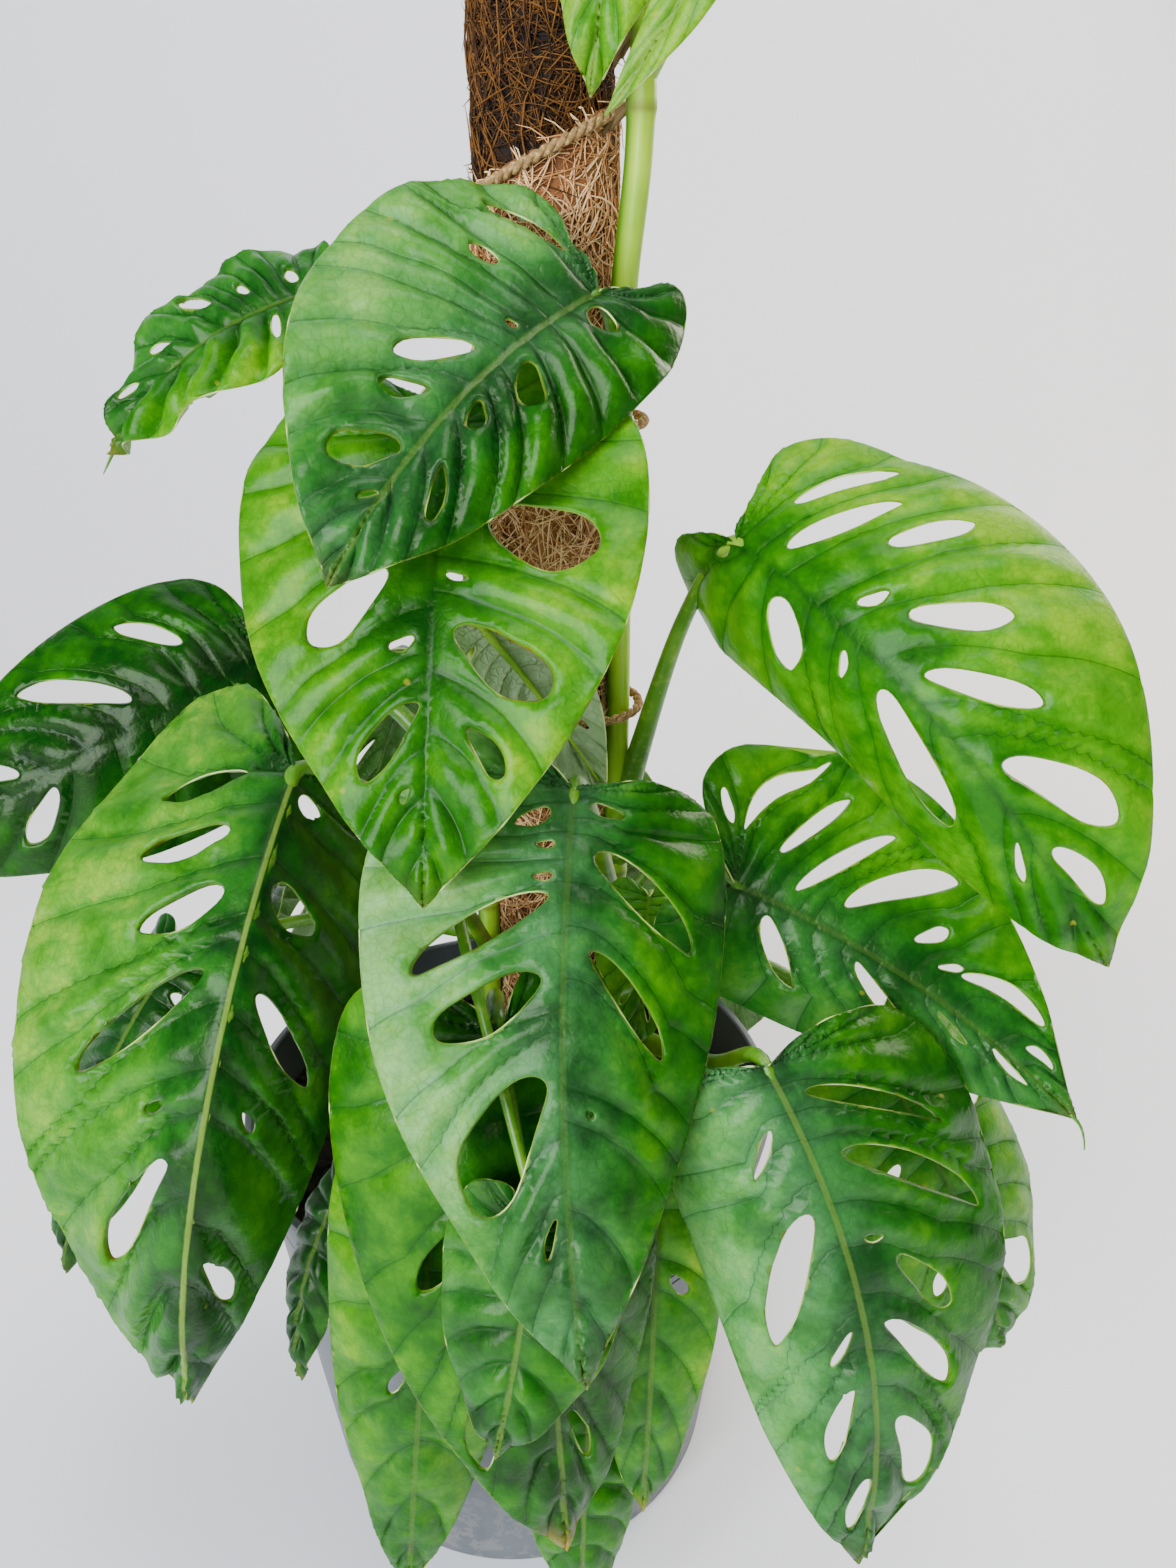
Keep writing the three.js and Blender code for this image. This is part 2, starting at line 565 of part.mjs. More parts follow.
// Where a share of the outline and a share of the way out to the margin lie on the flat blade.
function flatPoint(leaf, frame, side, outline, out) {
  const half = side < 0 ? leaf.left : leaf.right;
  const edge = halfOutline.getPoint(THREE.MathUtils.clamp(outline, 0, 1));
  const width = leaf.width * (side < 0 ? leaf.share : 2 - leaf.share);
  const lobed = edge.y < 0 ? edge.y * half.lobe : edge.y + leaf.belly * 4 * edge.y * (1 - edge.y);
  const edgeX = edge.x * width;
  const edgeY = lobed * frame.length;
  const start = frame.length * THREE.MathUtils.clamp((outline - veinsPart) / (1 - veinsPart), 0, 1) ** 1.5;
  const near = (1 - out) ** 2;
  const middle = 2 * (1 - out) * out;
  const x = middle * 0.7 * edgeX + out * out * edgeX;
  const y = near * start + middle * (start + 0.3 * (edgeY - start)) + out * out * edgeY;
  return { x: side * x, y, outline, out };
}

// The flat blade bent to its place: arched along the midrib, folded at it, and curled to the margin.
function bentPoint(leaf, frame, x, y, lift) {
  const share = y / frame.length;
  const within = Math.max(share, 0);
  const before = Math.min(share, 0) * frame.length;
  const turn = frame.arch / 2 - within * frame.arch;
  const start = frame.arch / 2;
  const forward = frame.radius * (Math.sin(start) - Math.sin(turn)) + before * Math.cos(start);
  const rise = frame.radius * (Math.cos(turn) - Math.cos(start)) + before * Math.sin(start);
  const half = x < 0 ? leaf.left : leaf.right;
  const fold = THREE.MathUtils.degToRad(half.fold);
  const curl = THREE.MathUtils.degToRad(half.curl || 1) / (leaf.width / 2);
  const slope = fold - curl * Math.abs(x);
  const across = (Math.sin(fold) - Math.sin(slope)) / curl;
  const raised = (Math.cos(slope) - Math.cos(fold)) / curl + lift;
  const bow = leaf.sweep * frame.length * 4 * THREE.MathUtils.clamp(share, 0, 1) * (1 - Math.min(share, 1));
  return frame.base.clone()
    .addScaledVector(frame.along, forward - Math.sin(turn) * raised)
    .addScaledVector(frame.up, rise + Math.cos(turn) * raised)
    .addScaledVector(frame.right, Math.sign(x) * across + bow);
}

function waveAt(point, side) {
  const phase = side < 0 ? 1 : 0;
  return waveHeight * point.out ** 3 * Math.sin(2 * Math.PI * wavesPerSide * point.outline + phase);
}

// The line between two neighbouring holes, or the end of the blade, as a share of the outline.
function centreLine([outline, from, to, , lean]) {
  return (out) => outline + lean * THREE.MathUtils.clamp((2 * out - from - to) / (to - from), -1, 1);
}

// One half of the blade is cut into strips between the veins, with at most one hole in each.
function halfStrips(leaf, frame, side) {
  const half = side < 0 ? leaf.left : leaf.right;
  const holes = half.holes.filter((hole) => hole[3] >= smallestHole);
  const lines = [() => 0, ...holes.map(centreLine), () => 1];
  const cuts = [() => 0];
  for (let i = 1; i < lines.length - 2; i += 1) {
    cuts.push((out) => (lines[i](out) + lines[i + 1](out)) / 2);
  }
  cuts.push(() => 1);
  if (holes.length === 0) cuts.splice(1, 0, () => 0.4, () => 0.6, () => 0.8);
  const strips = [];
  for (let i = 0; i + 1 < cuts.length; i += 1) {
    strips.push({ side, low: cuts[i], high: cuts[i + 1], hole: holes[i] });
  }
  return strips;
}

function bladeMesh(leaf, frame) {
  const points = [];
  const known = new Map();
  function pointIndex(point, side) {
    const key = `${point.x.toFixed(2)} ${point.y.toFixed(2)}`;
    if (!known.has(key)) {
      known.set(key, points.length);
      points.push({ ...point, lift: waveAt(point, side) });
    }
    return known.get(key);
  }
  const strips = [...halfStrips(leaf, frame, -1), ...halfStrips(leaf, frame, 1)];
  const stations = strips.flatMap(({ side, low, high }) => (
    [low, high].map((cut) => flatPoint(leaf, frame, side, cut(0), 0).y)));
  const triangles = [];
  const rows = [0, 0.5, 1];
  for (const { side, low, high, hole } of strips) {
    const at = (outline, out) => flatPoint(leaf, frame, side, outline, out);
    const contour = rows.map((out) => at(low(out), out));
    const marginSteps = Math.max(1, Math.round((high(1) - low(1)) / 0.085));
    for (let i = 1; i < marginSteps; i += 1) {
      contour.push(at(low(1) + ((high(1) - low(1)) * i) / marginSteps, 1));
    }
    contour.push(...rows.toReversed().map((out) => at(high(out), out)));
    const [lowest, highest] = [at(low(0), 0).y, at(high(0), 0).y];
    const between = stations.filter((y) => y > lowest + 0.05 && y < highest - 0.05);
    const backAlong = [...new Set(between)].sort((a, b) => b - a);
    contour.push(...backAlong.map((y) => ({ x: 0, y, outline: 0, out: 0 })));
    const rings = [contour];
    if (hole) {
      const [, from, to, halfWidth] = hole;
      const centre = centreLine(hole);
      rings.push(Array.from({ length: 6 }, (unused, i) => {
        const angle = (i * Math.PI) / 3;
        const out = (from + to) / 2 + ((to - from) / 2) * Math.cos(angle);
        return at(centre(out) + halfWidth * Math.sin(angle), out);
      }));
    }
    const indexed = rings.map((ring) => {
      const indices = ring.map((point) => pointIndex(point, side));
      return indices.filter((index, i) => index !== indices[(i + 1) % indices.length]);
    });
    const flatCorner = (index) => new THREE.Vector2(points[index].x, points[index].y);
    const shapes = indexed.map((ring) => ring.map(flatCorner));
    const all = indexed.flat();
    for (const face of THREE.ShapeUtils.triangulateShape(shapes[0], shapes.slice(1))) {
      const [a, b, c] = face.map((corner) => all[corner]);
      const area = (points[b].x - points[a].x) * (points[c].y - points[a].y)
        - (points[c].x - points[a].x) * (points[b].y - points[a].y);
      triangles.push(area > 0 ? [a, b, c] : [a, c, b]);
    }
  }
  return { points, triangles };
}

// The blade as a closed sheet: the same triangles above and below, and a wall along every open edge.
function bladeSolid(leaf, frame) {
  const { points, triangles } = bladeMesh(leaf, frame);
  const step = 0.5;
  const corners = [];
  for (const { x, y, lift } of points) {
    const middle = bentPoint(leaf, frame, x, y, lift);
    const ahead = bentPoint(leaf, frame, x, y + step, lift).sub(bentPoint(leaf, frame, x, y - step, lift));
    const aside = bentPoint(leaf, frame, x + step, y, lift).sub(bentPoint(leaf, frame, x - step, y, lift));
    const normal = aside.cross(ahead).normalize();
    corners.push(middle.clone().addScaledVector(normal, bladeThickness / 2));
    corners.push(middle.addScaledVector(normal, -bladeThickness / 2));
  }
  const openEdges = new Map();
  const faces = [];
  for (const [a, b, c] of triangles) {
    faces.push(2 * a, 2 * b, 2 * c, 2 * a + 1, 2 * c + 1, 2 * b + 1);
    for (const [from, to] of [[a, b], [b, c], [c, a]]) {
      if (!openEdges.delete(`${to} ${from}`)) openEdges.set(`${from} ${to}`, [from, to]);
    }
  }
  for (const [from, to] of openEdges.values()) {
    faces.push(2 * to, 2 * from, 2 * from + 1, 2 * to, 2 * from + 1, 2 * to + 1);
  }
  const geometry = new THREE.BufferGeometry().setFromPoints(corners);
  geometry.setIndex(faces);
  return solidOf(geometry);
}

function makeLeaf(leaf) {
  const frame = bladeFrame(leaf);
  const neck = 0.8 + frame.length * 0.008;
  const foot = 1.6 + frame.length * 0.018;
  const [stemX, stemY] = stemAt(leaf.stem, leaf.node);
  const below = (y, depth) => bentPoint(leaf, frame, 0, y * frame.length, -depth);
  const petiole = new THREE.CatmullRomCurve3([
    new THREE.Vector3(stemX, stemY, leaf.node), new THREE.Vector3(...leaf.via),
    below(-0.01, neck * 0.5), below(0.05, neck * 0.8),
  ], false, 'centripetal');
  const stalk = bar(petiole, (share) => neck + (foot - neck) * (1 - share) ** 2, 5, 7);
  return largest(bladeSolid(leaf, frame).add(stalk).subtract(stemBar(leaf.stem, CLEARANCE)));
}

// The plant in its pot

const plant = new THREE.Group();

function addPiece(name, solid, material) {
  const mesh = new THREE.Mesh(geometryOf(solid), material);
  mesh.name = name;
  plant.add(mesh);
}

const stemNames = Object.keys(stems);
addPiece('pot', makePot(), materials.pot);
addPiece('soil', makeSoil(stemNames.map((name) => stemBar(name, CLEARANCE))), materials.soil);
addPiece('pole_core', makeCore(), materials.core);
addPiece('coir_inner', poleTube(pole.coreRadius + CLEARANCE, pole.coirRadius, pole.top), materials.coir);
addPiece('coir_mat', makeMat(), materials.mat);
const edgeLoop = twineLoop(
  () => matRadius + CLEARANCE + twineRadius + 0.2,
  (x) => matEdge.height + matEdge.slope * x,
);
addPiece('twine_mat_edge', edgeLoop, materials.twine);
for (const [name, height] of Object.entries(tieHeights)) addPiece(name, makeTie(height), materials.twine);
for (const name of stemNames) addPiece(`stem_${name}`, stemBar(name, 0), materials.stem);
for (const leaf of [...leaves, ...hiddenLeaves.map(hiddenLeaf)]) {
  addPiece(leaf.name, makeLeaf(leaf), materials.leaf);
}

export default plant;
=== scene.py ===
# Potted swiss cheese vine (Monstera adansonii) tied to a coir pole in a grey nursery pot.
# Metres with +Z up. The origin is the middle of the pot's base, and -Y is the plant's front.
import math

import bmesh
import bpy
import numpy as np
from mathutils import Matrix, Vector, geometry, noise


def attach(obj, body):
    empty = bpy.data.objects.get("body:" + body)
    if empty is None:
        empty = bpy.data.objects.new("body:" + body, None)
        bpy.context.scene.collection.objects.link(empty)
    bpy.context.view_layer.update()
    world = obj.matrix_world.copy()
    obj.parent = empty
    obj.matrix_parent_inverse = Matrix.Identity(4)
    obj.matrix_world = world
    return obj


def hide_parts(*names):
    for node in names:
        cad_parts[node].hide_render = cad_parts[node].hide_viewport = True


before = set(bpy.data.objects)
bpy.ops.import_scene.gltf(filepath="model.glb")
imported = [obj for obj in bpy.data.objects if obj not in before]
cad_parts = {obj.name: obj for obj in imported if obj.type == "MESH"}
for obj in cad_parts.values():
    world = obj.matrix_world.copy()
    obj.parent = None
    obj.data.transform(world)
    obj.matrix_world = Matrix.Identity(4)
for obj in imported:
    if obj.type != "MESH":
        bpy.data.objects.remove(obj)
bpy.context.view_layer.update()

# Nursery pot
# Thin grey polypropylene, injection moulded with a collar under the rim, two fine lines below it
# and drainage channels that end as notches in the foot. Black damp soil has been washed onto it.
# Lengths are in millimetres up to the meshes, which are in metres.

MM = 0.001
FULL_TURN = 2 * math.pi
sharp_from = math.radians(35)
pot_height = 165
pot_foot = 76
pot_wall_top = 90.5
pot_collar = (92.5, 150)
pot_rim = 95
pot_wall = 2
pot_floor = 2.5
pot_sides = 168
fine_lines = (139, 143)
line_depth = 0.5
notch_width = 20
notch_height = 12
notch_count = 7
slot_width = 7
slot_height = 20
channel_wall = 2
first_notch = math.radians(-104)
below_foot = -5


def placed(name, data):
    """A new object in the scene for a mesh, a light or a camera."""
    made = bpy.data.objects.new(name, data)
    bpy.context.scene.collection.objects.link(made)
    return made


def baked(made, name):
    """The mesh of a bmesh, which is freed."""
    mesh = bpy.data.meshes.new(name)
    made.to_mesh(mesh)
    made.free()
    return mesh


def turned(profile, steps):
    """A closed bmesh from a profile that starts and ends on Z and is turned round it."""
    made = bmesh.new()
    points = [made.verts.new((radius * MM, 0, height * MM)) for radius, height in profile]
    edges = [made.edges.new(pair) for pair in zip(points, points[1:])]
    bmesh.ops.spin(made, geom=points + edges, axis=(0, 0, 1), cent=(0, 0, 0),
                   steps=steps, angle=FULL_TURN, use_merge=True)
    bmesh.ops.remove_doubles(made, verts=made.verts, dist=1e-6)
    bmesh.ops.recalc_face_normals(made, faces=made.faces)
    return made


def wall_radius(height):
    return pot_foot + (pot_wall_top - pot_foot) * height / pot_collar[1]


def on_wall(height, out=0):
    """A point of the profile at a height of the wall, out from its outer face."""
    return wall_radius(height) + out, height


def channel_boxes(*sizes):
    """Boxes along every channel, each from its width, top, nearest and farthest end, and bottom."""
    made = bmesh.new()
    for index in range(notch_count):
        angle = first_notch + index * FULL_TURN / notch_count
        for width, top, start, end, bottom in sizes:
            for vertex in bmesh.ops.create_cube(made, size=1)["verts"]:
                out = ((start + end) / 2 + vertex.co.x * (end - start)) * MM
                aside = vertex.co.y * width * MM
                vertex.co = (out * math.cos(angle) - aside * math.sin(angle),
                             out * math.sin(angle) + aside * math.cos(angle),
                             (bottom + (top - bottom) * (vertex.co.z + 0.5)) * MM)
    return placed("boxes", baked(made, "boxes"))


def with_boolean(target, tool, operation):
    """Joins the tool to the target or cuts it away there, and removes the tool."""
    changed = target.modifiers.new("cut", "BOOLEAN")
    changed.object = tool
    changed.operation = operation
    changed.solver = "EXACT"
    bpy.context.view_layer.update()
    evaluated = target.evaluated_get(bpy.context.evaluated_depsgraph_get())
    mesh = bpy.data.meshes.new_from_object(evaluated)
    target.modifiers.remove(changed)
    target.data = mesh
    bpy.data.objects.remove(tool)


pot_profile = [(0, 1.2), (55, 1.2), (57, 0), (pot_foot - 1.2, 0), (pot_foot - 0.3, 0.3),
               (pot_foot, 1.2), on_wall(60), on_wall(120)]
for line_foot in fine_lines:
    pot_profile += [on_wall(line_foot), on_wall(line_foot + 0.4, -line_depth), on_wall(line_foot + 1)]
pot_profile += [
    on_wall(149), (pot_wall_top + 0.5, 149.8), pot_collar, (pot_collar[0] + 0.2, 150.5),
    (pot_rim - 0.2, 162), (pot_rim, 163.4), (pot_rim - 0.3, 164.6), (pot_rim - 1, pot_height),
    (pot_rim - 2.4, pot_height), (pot_rim - 3, 164.4), (pot_rim - 3.2, 163),
    (pot_wall_top - pot_wall + 0.5, 150), on_wall(120, -pot_wall), on_wall(60, -pot_wall),
    on_wall(4, -pot_wall), (70, pot_floor + 0.2), (0, pot_floor + 0.2),
]
pot_work = placed("pot_work", baked(turned(pot_profile, pot_sides), "pot"))
raised_channels = channel_boxes(
    (notch_width + 2 * channel_wall, notch_height + channel_wall, 38, 75, 1.8))
with_boolean(pot_work, raised_channels, "UNION")
notches_and_slots = channel_boxes((notch_width, notch_height, 40, 90, below_foot),
                                  (slot_width, slot_height, 46, 64, below_foot))
with_boolean(pot_work, notches_and_slots, "DIFFERENCE")
pot_mesh = pot_work.data.copy()
pot_mesh.set_sharp_from_angle(angle=sharp_from)
bpy.data.objects.remove(pot_work)


def linear(colour):
    """A hex sRGB colour as linear red, green, blue and alpha."""
    parts = [int(colour[i:i + 2], 16) / 255 for i in (1, 3, 5)]
    return [p / 12.92 if p <= 0.04045 else ((p + 0.055) / 1.055) ** 2.4 for p in parts] + [1]


def add(tree, kind, inputs=None, **settings):
    """A node with its settings; each input is linked to a socket or set to a plain value."""
    made = tree.nodes.new("ShaderNode" + kind)
    for key, value in settings.items():
        setattr(made, key, value)
    for key, value in (inputs or {}).items():
        if isinstance(value, bpy.types.NodeSocket):
            tree.links.new(value, made.inputs[key])
        else:
            made.inputs[key].default_value = value
    return made


def material(name):
    """A new material, its node tree and the socket that gives a point's place on the object."""
    made = bpy.data.materials.new(name)
    made.use_nodes = True
    tree = made.node_tree
    tree.nodes.clear()
    tree.nodes.new("ShaderNodeOutputMaterial")
    return made, tree, add(tree, "TexCoord").outputs["Object"]


def noise_at(place, scale, detail, rough=0.5):
    inputs = {"Vector": place, "Scale": scale, "Detail": detail, "Roughness": rough}
    return add(place.id_data, "TexNoise", inputs).outputs["Fac"]


def ranged(socket, low, high, to_low=0.0, to_high=1.0, kind="LINEAR"):
    """A change from one value to another while a socket runs from low to high."""
    inputs = {"Value": socket, "From Min": low, "From Max": high, "To Min": to_low, "To Max": to_high}
    return add(socket.id_data, "MapRange", inputs, interpolation_type=kind).outputs[0]


def calc(first, operation, second=0.0):
    """The outcome of an operation on a socket and another socket or a number."""
    return add(first.id_data, "Math", {0: first, 1: second}, operation=operation).outputs[0]


def ramp(socket, *stops):
    """A colour for every value of a socket, from pairs of position and hex colour."""
    made = add(socket.id_data, "ValToRGB", {0: socket})
    while len(made.color_ramp.elements) < len(stops):
        made.color_ramp.elements.new(0.5)
    for element, (position, colour) in zip(made.color_ramp.elements, stops):
        element.position = position
        element.color = linear(colour)
    return made.outputs["Color"]


def tinted(base, share, colour):
    """A colour socket with a hex colour laid over it by the share that a socket gives."""
    inputs = {0: share, 6: base, 7: linear(colour)}
    return add(base.id_data, "Mix", inputs, data_type="RGBA").outputs[2]


def bumped(height, strength, distance, earlier=None):
    """A normal with the relief of a height socket, on top of an earlier normal if there is one."""
    inputs = {"Height": height, "Strength": strength, "Distance": distance}
    if earlier:
        inputs["Normal"] = earlier
    return add(height.id_data, "Bump", inputs).outputs["Normal"]


def principled(base, rough, ior, normal, others=None):
    """A Principled shader from its usual inputs and any others by their names."""
    inputs = {"Base Color": base, "Roughness": rough, "IOR": ior, "Normal": normal}
    return add(base.id_data, "BsdfPrincipled", inputs | (others or {}))


def surface(shader):
    tree = shader.id_data
    tree.links.new(shader.outputs[0], tree.nodes["Material Output"].inputs["Surface"])


def new_piece(name, mesh, materials, slot, *replaced):
    """A finished mesh as a piece of the plant that stands for the CAD nodes it replaces."""
    made = placed(name, mesh)
    for each in materials:
        mesh.materials.append(each)
    mesh.polygons.foreach_set("use_smooth", [True] * len(mesh.polygons))
    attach(made, "root")
    if replaced:
        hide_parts(*replaced)


# Moulded polypropylene: a satin skin with fine grain, and dried splashes near the foot.
pot_grey, tree, place = material("pot_plastic")
clouds = noise_at(place, 22, 6, 0.6)
near_foot = ranged(add(tree, "SeparateXYZ", {0: place}).outputs["Z"], 0.07, 0.0)
splashes = calc(calc(noise_at(place, 160, 4, 0.7), "GREATER_THAN", 0.53), "MULTIPLY", near_foot)
base = ramp(clouds, (0.3, "#4a4f52"), (0.7, "#5e6366"))
base = tinted(base, calc(splashes, "MULTIPLY", 0.35), "#8d8980")
grain = bumped(noise_at(place, 900, 3), 0.25, 0.0002)
surface(principled(base, ranged(clouds, 0, 1, 0.38, 0.55), 1.49, grain))
new_piece("pot_shell", pot_mesh, [pot_grey], "pot", "pot")

# Potting soil
# Dark peat and bark, damp, filled to 2 cm under the rim: a lumpy top with loose crumbs on it.

soil_level = 146
soil_crown = 4
soil_rings = 60
soil_gap = 2.4
soil_round = 90
lumps_reach = 88
crumb_count = 420
crumb_reach = 86
pole_x = 17
pole_clearance = 21


def soil_edge(height):
    return wall_radius(height) - soil_gap


soil_bottom = pot_floor + 0.6 + notch_height + 4
soil_profile = [(0, soil_bottom), (soil_edge(20), soil_bottom), (soil_edge(soil_level), soil_level)]
for ring in range(1, soil_rings + 1):
    radius = soil_edge(soil_level) * (1 - ring / soil_rings)
    soil_profile.append((radius, soil_level + soil_crown * (1 - (radius / soil_round) ** 2)))
soil_bm = turned(soil_profile, 180)
for vertex in soil_bm.verts:
    if vertex.co.z > (soil_level - 1) * MM and vertex.co.xy.length < lumps_reach * MM:
        lumps = noise.fractal(vertex.co * 60, 0.8, 2.0, 3) * 2.2 + noise.noise(vertex.co * 400) * 0.8
        vertex.co.z += lumps * MM
draw = np.random.default_rng(11)
for _ in range(crumb_count):
    angle = draw.uniform(0, FULL_TURN)
    radius = crumb_reach * math.sqrt(draw.uniform())
    size = draw.uniform(0.8, 2.6)
    centre = Vector((radius * math.cos(angle), radius * math.sin(angle), soil_level + 3.2)) * MM
    if math.hypot(centre.x / MM - pole_x, centre.y / MM) < pole_clearance:
        continue
    lump = bmesh.ops.create_icosphere(soil_bm, subdivisions=2, radius=size * MM)["verts"]
    stretch = Vector((draw.uniform(0.6, 1.4), draw.uniform(0.6, 1.4), draw.uniform(0.4, 0.8)))
    for vertex in lump:
        rough = 1 + 0.35 * noise.noise(vertex.co * 900 + centre * 7000)
        vertex.co = centre + Vector([a * b * rough for a, b in zip(vertex.co, stretch)])

# Peat: matt near-black brown fibre and grit, a little lighter where it has dried.
peat, tree, place = material("potting_soil")
lumps = noise_at(place, 130, 8, 0.7)
grit = add(tree, "TexVoronoi", {"Vector": place, "Scale": 700}).outputs["Distance"]
base = ramp(lumps, (0.3, "#0e0a08"), (0.55, "#1f1711"), (0.75, "#3a2c20"))
surface(principled(base, 0.9, 1.4, bumped(grit, 0.5, 0.0005, bumped(lumps, 0.8, 0.001))))
new_piece("soil_bed", baked(soil_bm, "soil"), [peat], "soil", "soil")

# Pole
# A plain wooden stake with coconut fibre wound round it, sold ready made. A second, lighter mat of
# felted fibre is wrapped round its lower part, and its top edge slants down to the left.

pole_foot = 2.8
pole_top = 585
core_radius = 9
core_top = 579
coir_radius = 17.6
mat_radius = 19.1
mat_edge = 467
mat_slope = 0.5
felt_from = 148
felt_sides = 90
felt_row = 3
fibre_taper = [0.55, 1, 1, 0.85, 0.35]
straight_up = np.array([0, 0, 1])


def unit(vectors):
    return vectors / np.linalg.norm(vectors, axis=-1, keepdims=True)


def tubes(paths, radii, sides, closed=False):
    """Points and faces of tubes along many paths at once.

    paths is tube by step by 3 and radii is tube by step."""
    paths = np.asarray(paths, float)
    count, steps = paths.shape[:2]
    ahead = np.roll(paths, -1, 1) - np.roll(paths, 1, 1)
    if not closed:
        ahead[:, 0] = paths[:, 1] - paths[:, 0]
        ahead[:, -1] = paths[:, -1] - paths[:, -2]
    ahead = unit(ahead)
    across = np.zeros_like(paths)
    other_axis = np.where(np.abs(ahead[:, 0, 2:]) > 0.9, [1, 0, 0], [0, 0, 1])
    across[:, 0] = unit(np.cross(ahead[:, 0], other_axis))
    for step in range(1, steps):
        before, way = across[:, step - 1], ahead[:, step]
        across[:, step] = unit(before - way * np.sum(before * way, 1, keepdims=True))
    up = np.cross(ahead, across)
    angle = (np.arange(sides) * FULL_TURN / sides)[:, None]
    ring = across[:, :, None] * np.cos(angle) + up[:, :, None] * np.sin(angle)
    radii = np.broadcast_to(np.asarray(radii, float), (count, steps))
    points = (paths[:, :, None] + ring * radii[:, :, None, None]).reshape(-1, 3)
    faces = []
    for tube in range(count):
        start = tube * steps * sides
        for step in range(steps if closed else steps - 1):
            here = start + step * sides
            there = start + (step + 1) % steps * sides
            for side in range(sides):
                after = (side + 1) % sides
                faces.append((here + side, here + after, there + after, there + side))
        if not closed:
            faces.append(tuple(start + side for side in reversed(range(sides))))
            faces.append(tuple(start + (steps - 1) * sides + side for side in range(sides)))
    return points, faces


def mesh_of(name, points, faces, attributes):
    """A mesh with a number for each point under each attribute name."""
    mesh = bpy.data.meshes.new(name)
    mesh.from_pydata((np.asarray(points) * MM).tolist(), [], faces)
    for key, values in attributes.items():
        layer = mesh.attributes.new(key, "FLOAT", "POINT")
        layer.data.foreach_set("value", np.asarray(values, np.float32))
    mesh.update()
    return mesh


def joined(*pieces):
    """Several sets of points, faces and tones as one."""
    points, faces, tones = [], [], []
    for some_points, some_faces, some_tones in pieces:
        start = len(points)
        points.extend(np.asarray(some_points).tolist())
        faces.extend(tuple(index + start for index in face) for face in some_faces)
        tones.extend(np.broadcast_to(some_tones, len(some_points)).tolist())
    return points, faces, tones


def pole_tube(inner, outer, top, slope, lump, seed, tone):
    """A felted tube round the pole's axis, uneven outside, whose top edge may slant."""
    rows = int((top - pole_foot) / felt_row)
    turns = [(math.cos(a), math.sin(a)) for a in np.linspace(0, FULL_TURN, felt_sides, endpoint=False)]
    points = []
    for row in range(rows + 1):
        for x, y in turns:
            height = pole_foot + (top + slope * (outer * x) - pole_foot) * row / rows
            uneven = noise.fractal(Vector((x * 2.5, y * 2.5, height * 0.13 + seed)), 0.7, 2.0, 4)
            radius = outer + lump * uneven - (0.8 if row == rows else 0)
            points.append((pole_x + radius * x, radius * y, height))
    points += [(pole_x + inner * x, inner * y, top + slope * inner * x) for x, y in turns]
    points += [(pole_x + inner * x, inner * y, pole_foot) for x, y in turns]
    faces = []
    rings = rows + 3
    for row in range(rings):
        here, there = row * felt_sides, (row + 1) % rings * felt_sides
        for i in range(felt_sides):
            j = (i + 1) % felt_sides
            faces.append((here + i, here + j, there + j, there + i))
    return points, faces, tone


def fibres(count, bottom, top, slope, radius, seed, long, thick, stray):
    """Coconut fibres lying on the pole at every angle, some with an end that stands off."""
    draw = np.random.default_rng(seed)
    steps = len(fibre_taper)
    length = draw.uniform(0.35, 1, count) * long
    turn = draw.uniform(0, FULL_TURN, count)
    heading = draw.normal(0.9, 0.9, count) * draw.choice([-1, 1], count)
    bend = draw.normal(0, 0.09, count)
    limit = top + slope * radius * np.cos(turn)
    height = bottom + (limit - bottom) * draw.uniform(0, 1, count)
    lift = draw.uniform(-0.1, 0.55, count)
    loose = np.where(draw.uniform(size=count) < stray, draw.uniform(1, 3.5, count), 0)
    path = np.zeros((count, steps, 3))
    step_length = length / (steps - 1)
    for step in range(steps):
        share = step / (steps - 1)
        away = radius + lift + 0.25 * np.sin(share * 9 + turn * 5) + loose * share ** 2
        path[:, step, 0] = pole_x + away * np.cos(turn)
        path[:, step, 1] = away * np.sin(turn)
        path[:, step, 2] = np.clip(height, bottom, limit + 1.5 + 2 * loose)
        turn = turn + step_length * np.cos(heading) / radius
        height = height + step_length * np.sin(heading)
        heading = heading + bend * 2.2
    radii = thick * draw.uniform(0.6, 1.3, (count, 1)) * np.array(fibre_taper)
    points, faces = tubes(path, radii, 3)
    return points, faces, np.repeat(draw.uniform(0, 1, count), steps * 3)


def attribute(tree, name):
    """The number that the mesh has for each point under a name."""
    return add(tree, "Attribute", attribute_name=name).outputs["Fac"]


# Coir: stiff hollow fibre from coconut husk, woody and dull, from dark brown to tan.
def coir_material(name, gap, dark, middle, light):
    made, tree, place = material(name)
    tangle = add(tree, "TexNoise", {"Vector": place, "Scale": 420, "Detail": 4, "Distortion": 0.6},
                 noise_type="RIDGED_MULTIFRACTAL").outputs["Fac"]
    tone = calc(attribute(tree, "tone"), "MULTIPLY", 0.75)
    tone = calc(tone, "ADD", noise_at(place, 45, 5))
    tone = calc(tone, "ADD", ranged(tangle, 0.5, 1.6, 0, 0.3))
    # The lowest stop is the dark between the fibres: partly darker coir deep in the felt, partly painted
    # shade in the gaps.
    base = ramp(tone, (0.3, gap), (0.45, dark), (0.8, middle), (1.0, light))
    grain = bumped(noise_at(place, 1400, 2), 0.6, 0.0003)
    surface(principled(base, 0.75, 1.45, grain, {"Specular IOR Level": 0.25}))
    return made


def fibre_piece(name, fibre, slot, *parts, replaced=()):
    points, faces, tones = joined(*parts)
    new_piece(name, mesh_of(name, points, faces, {"tone": tones}), [fibre], slot, *replaced)


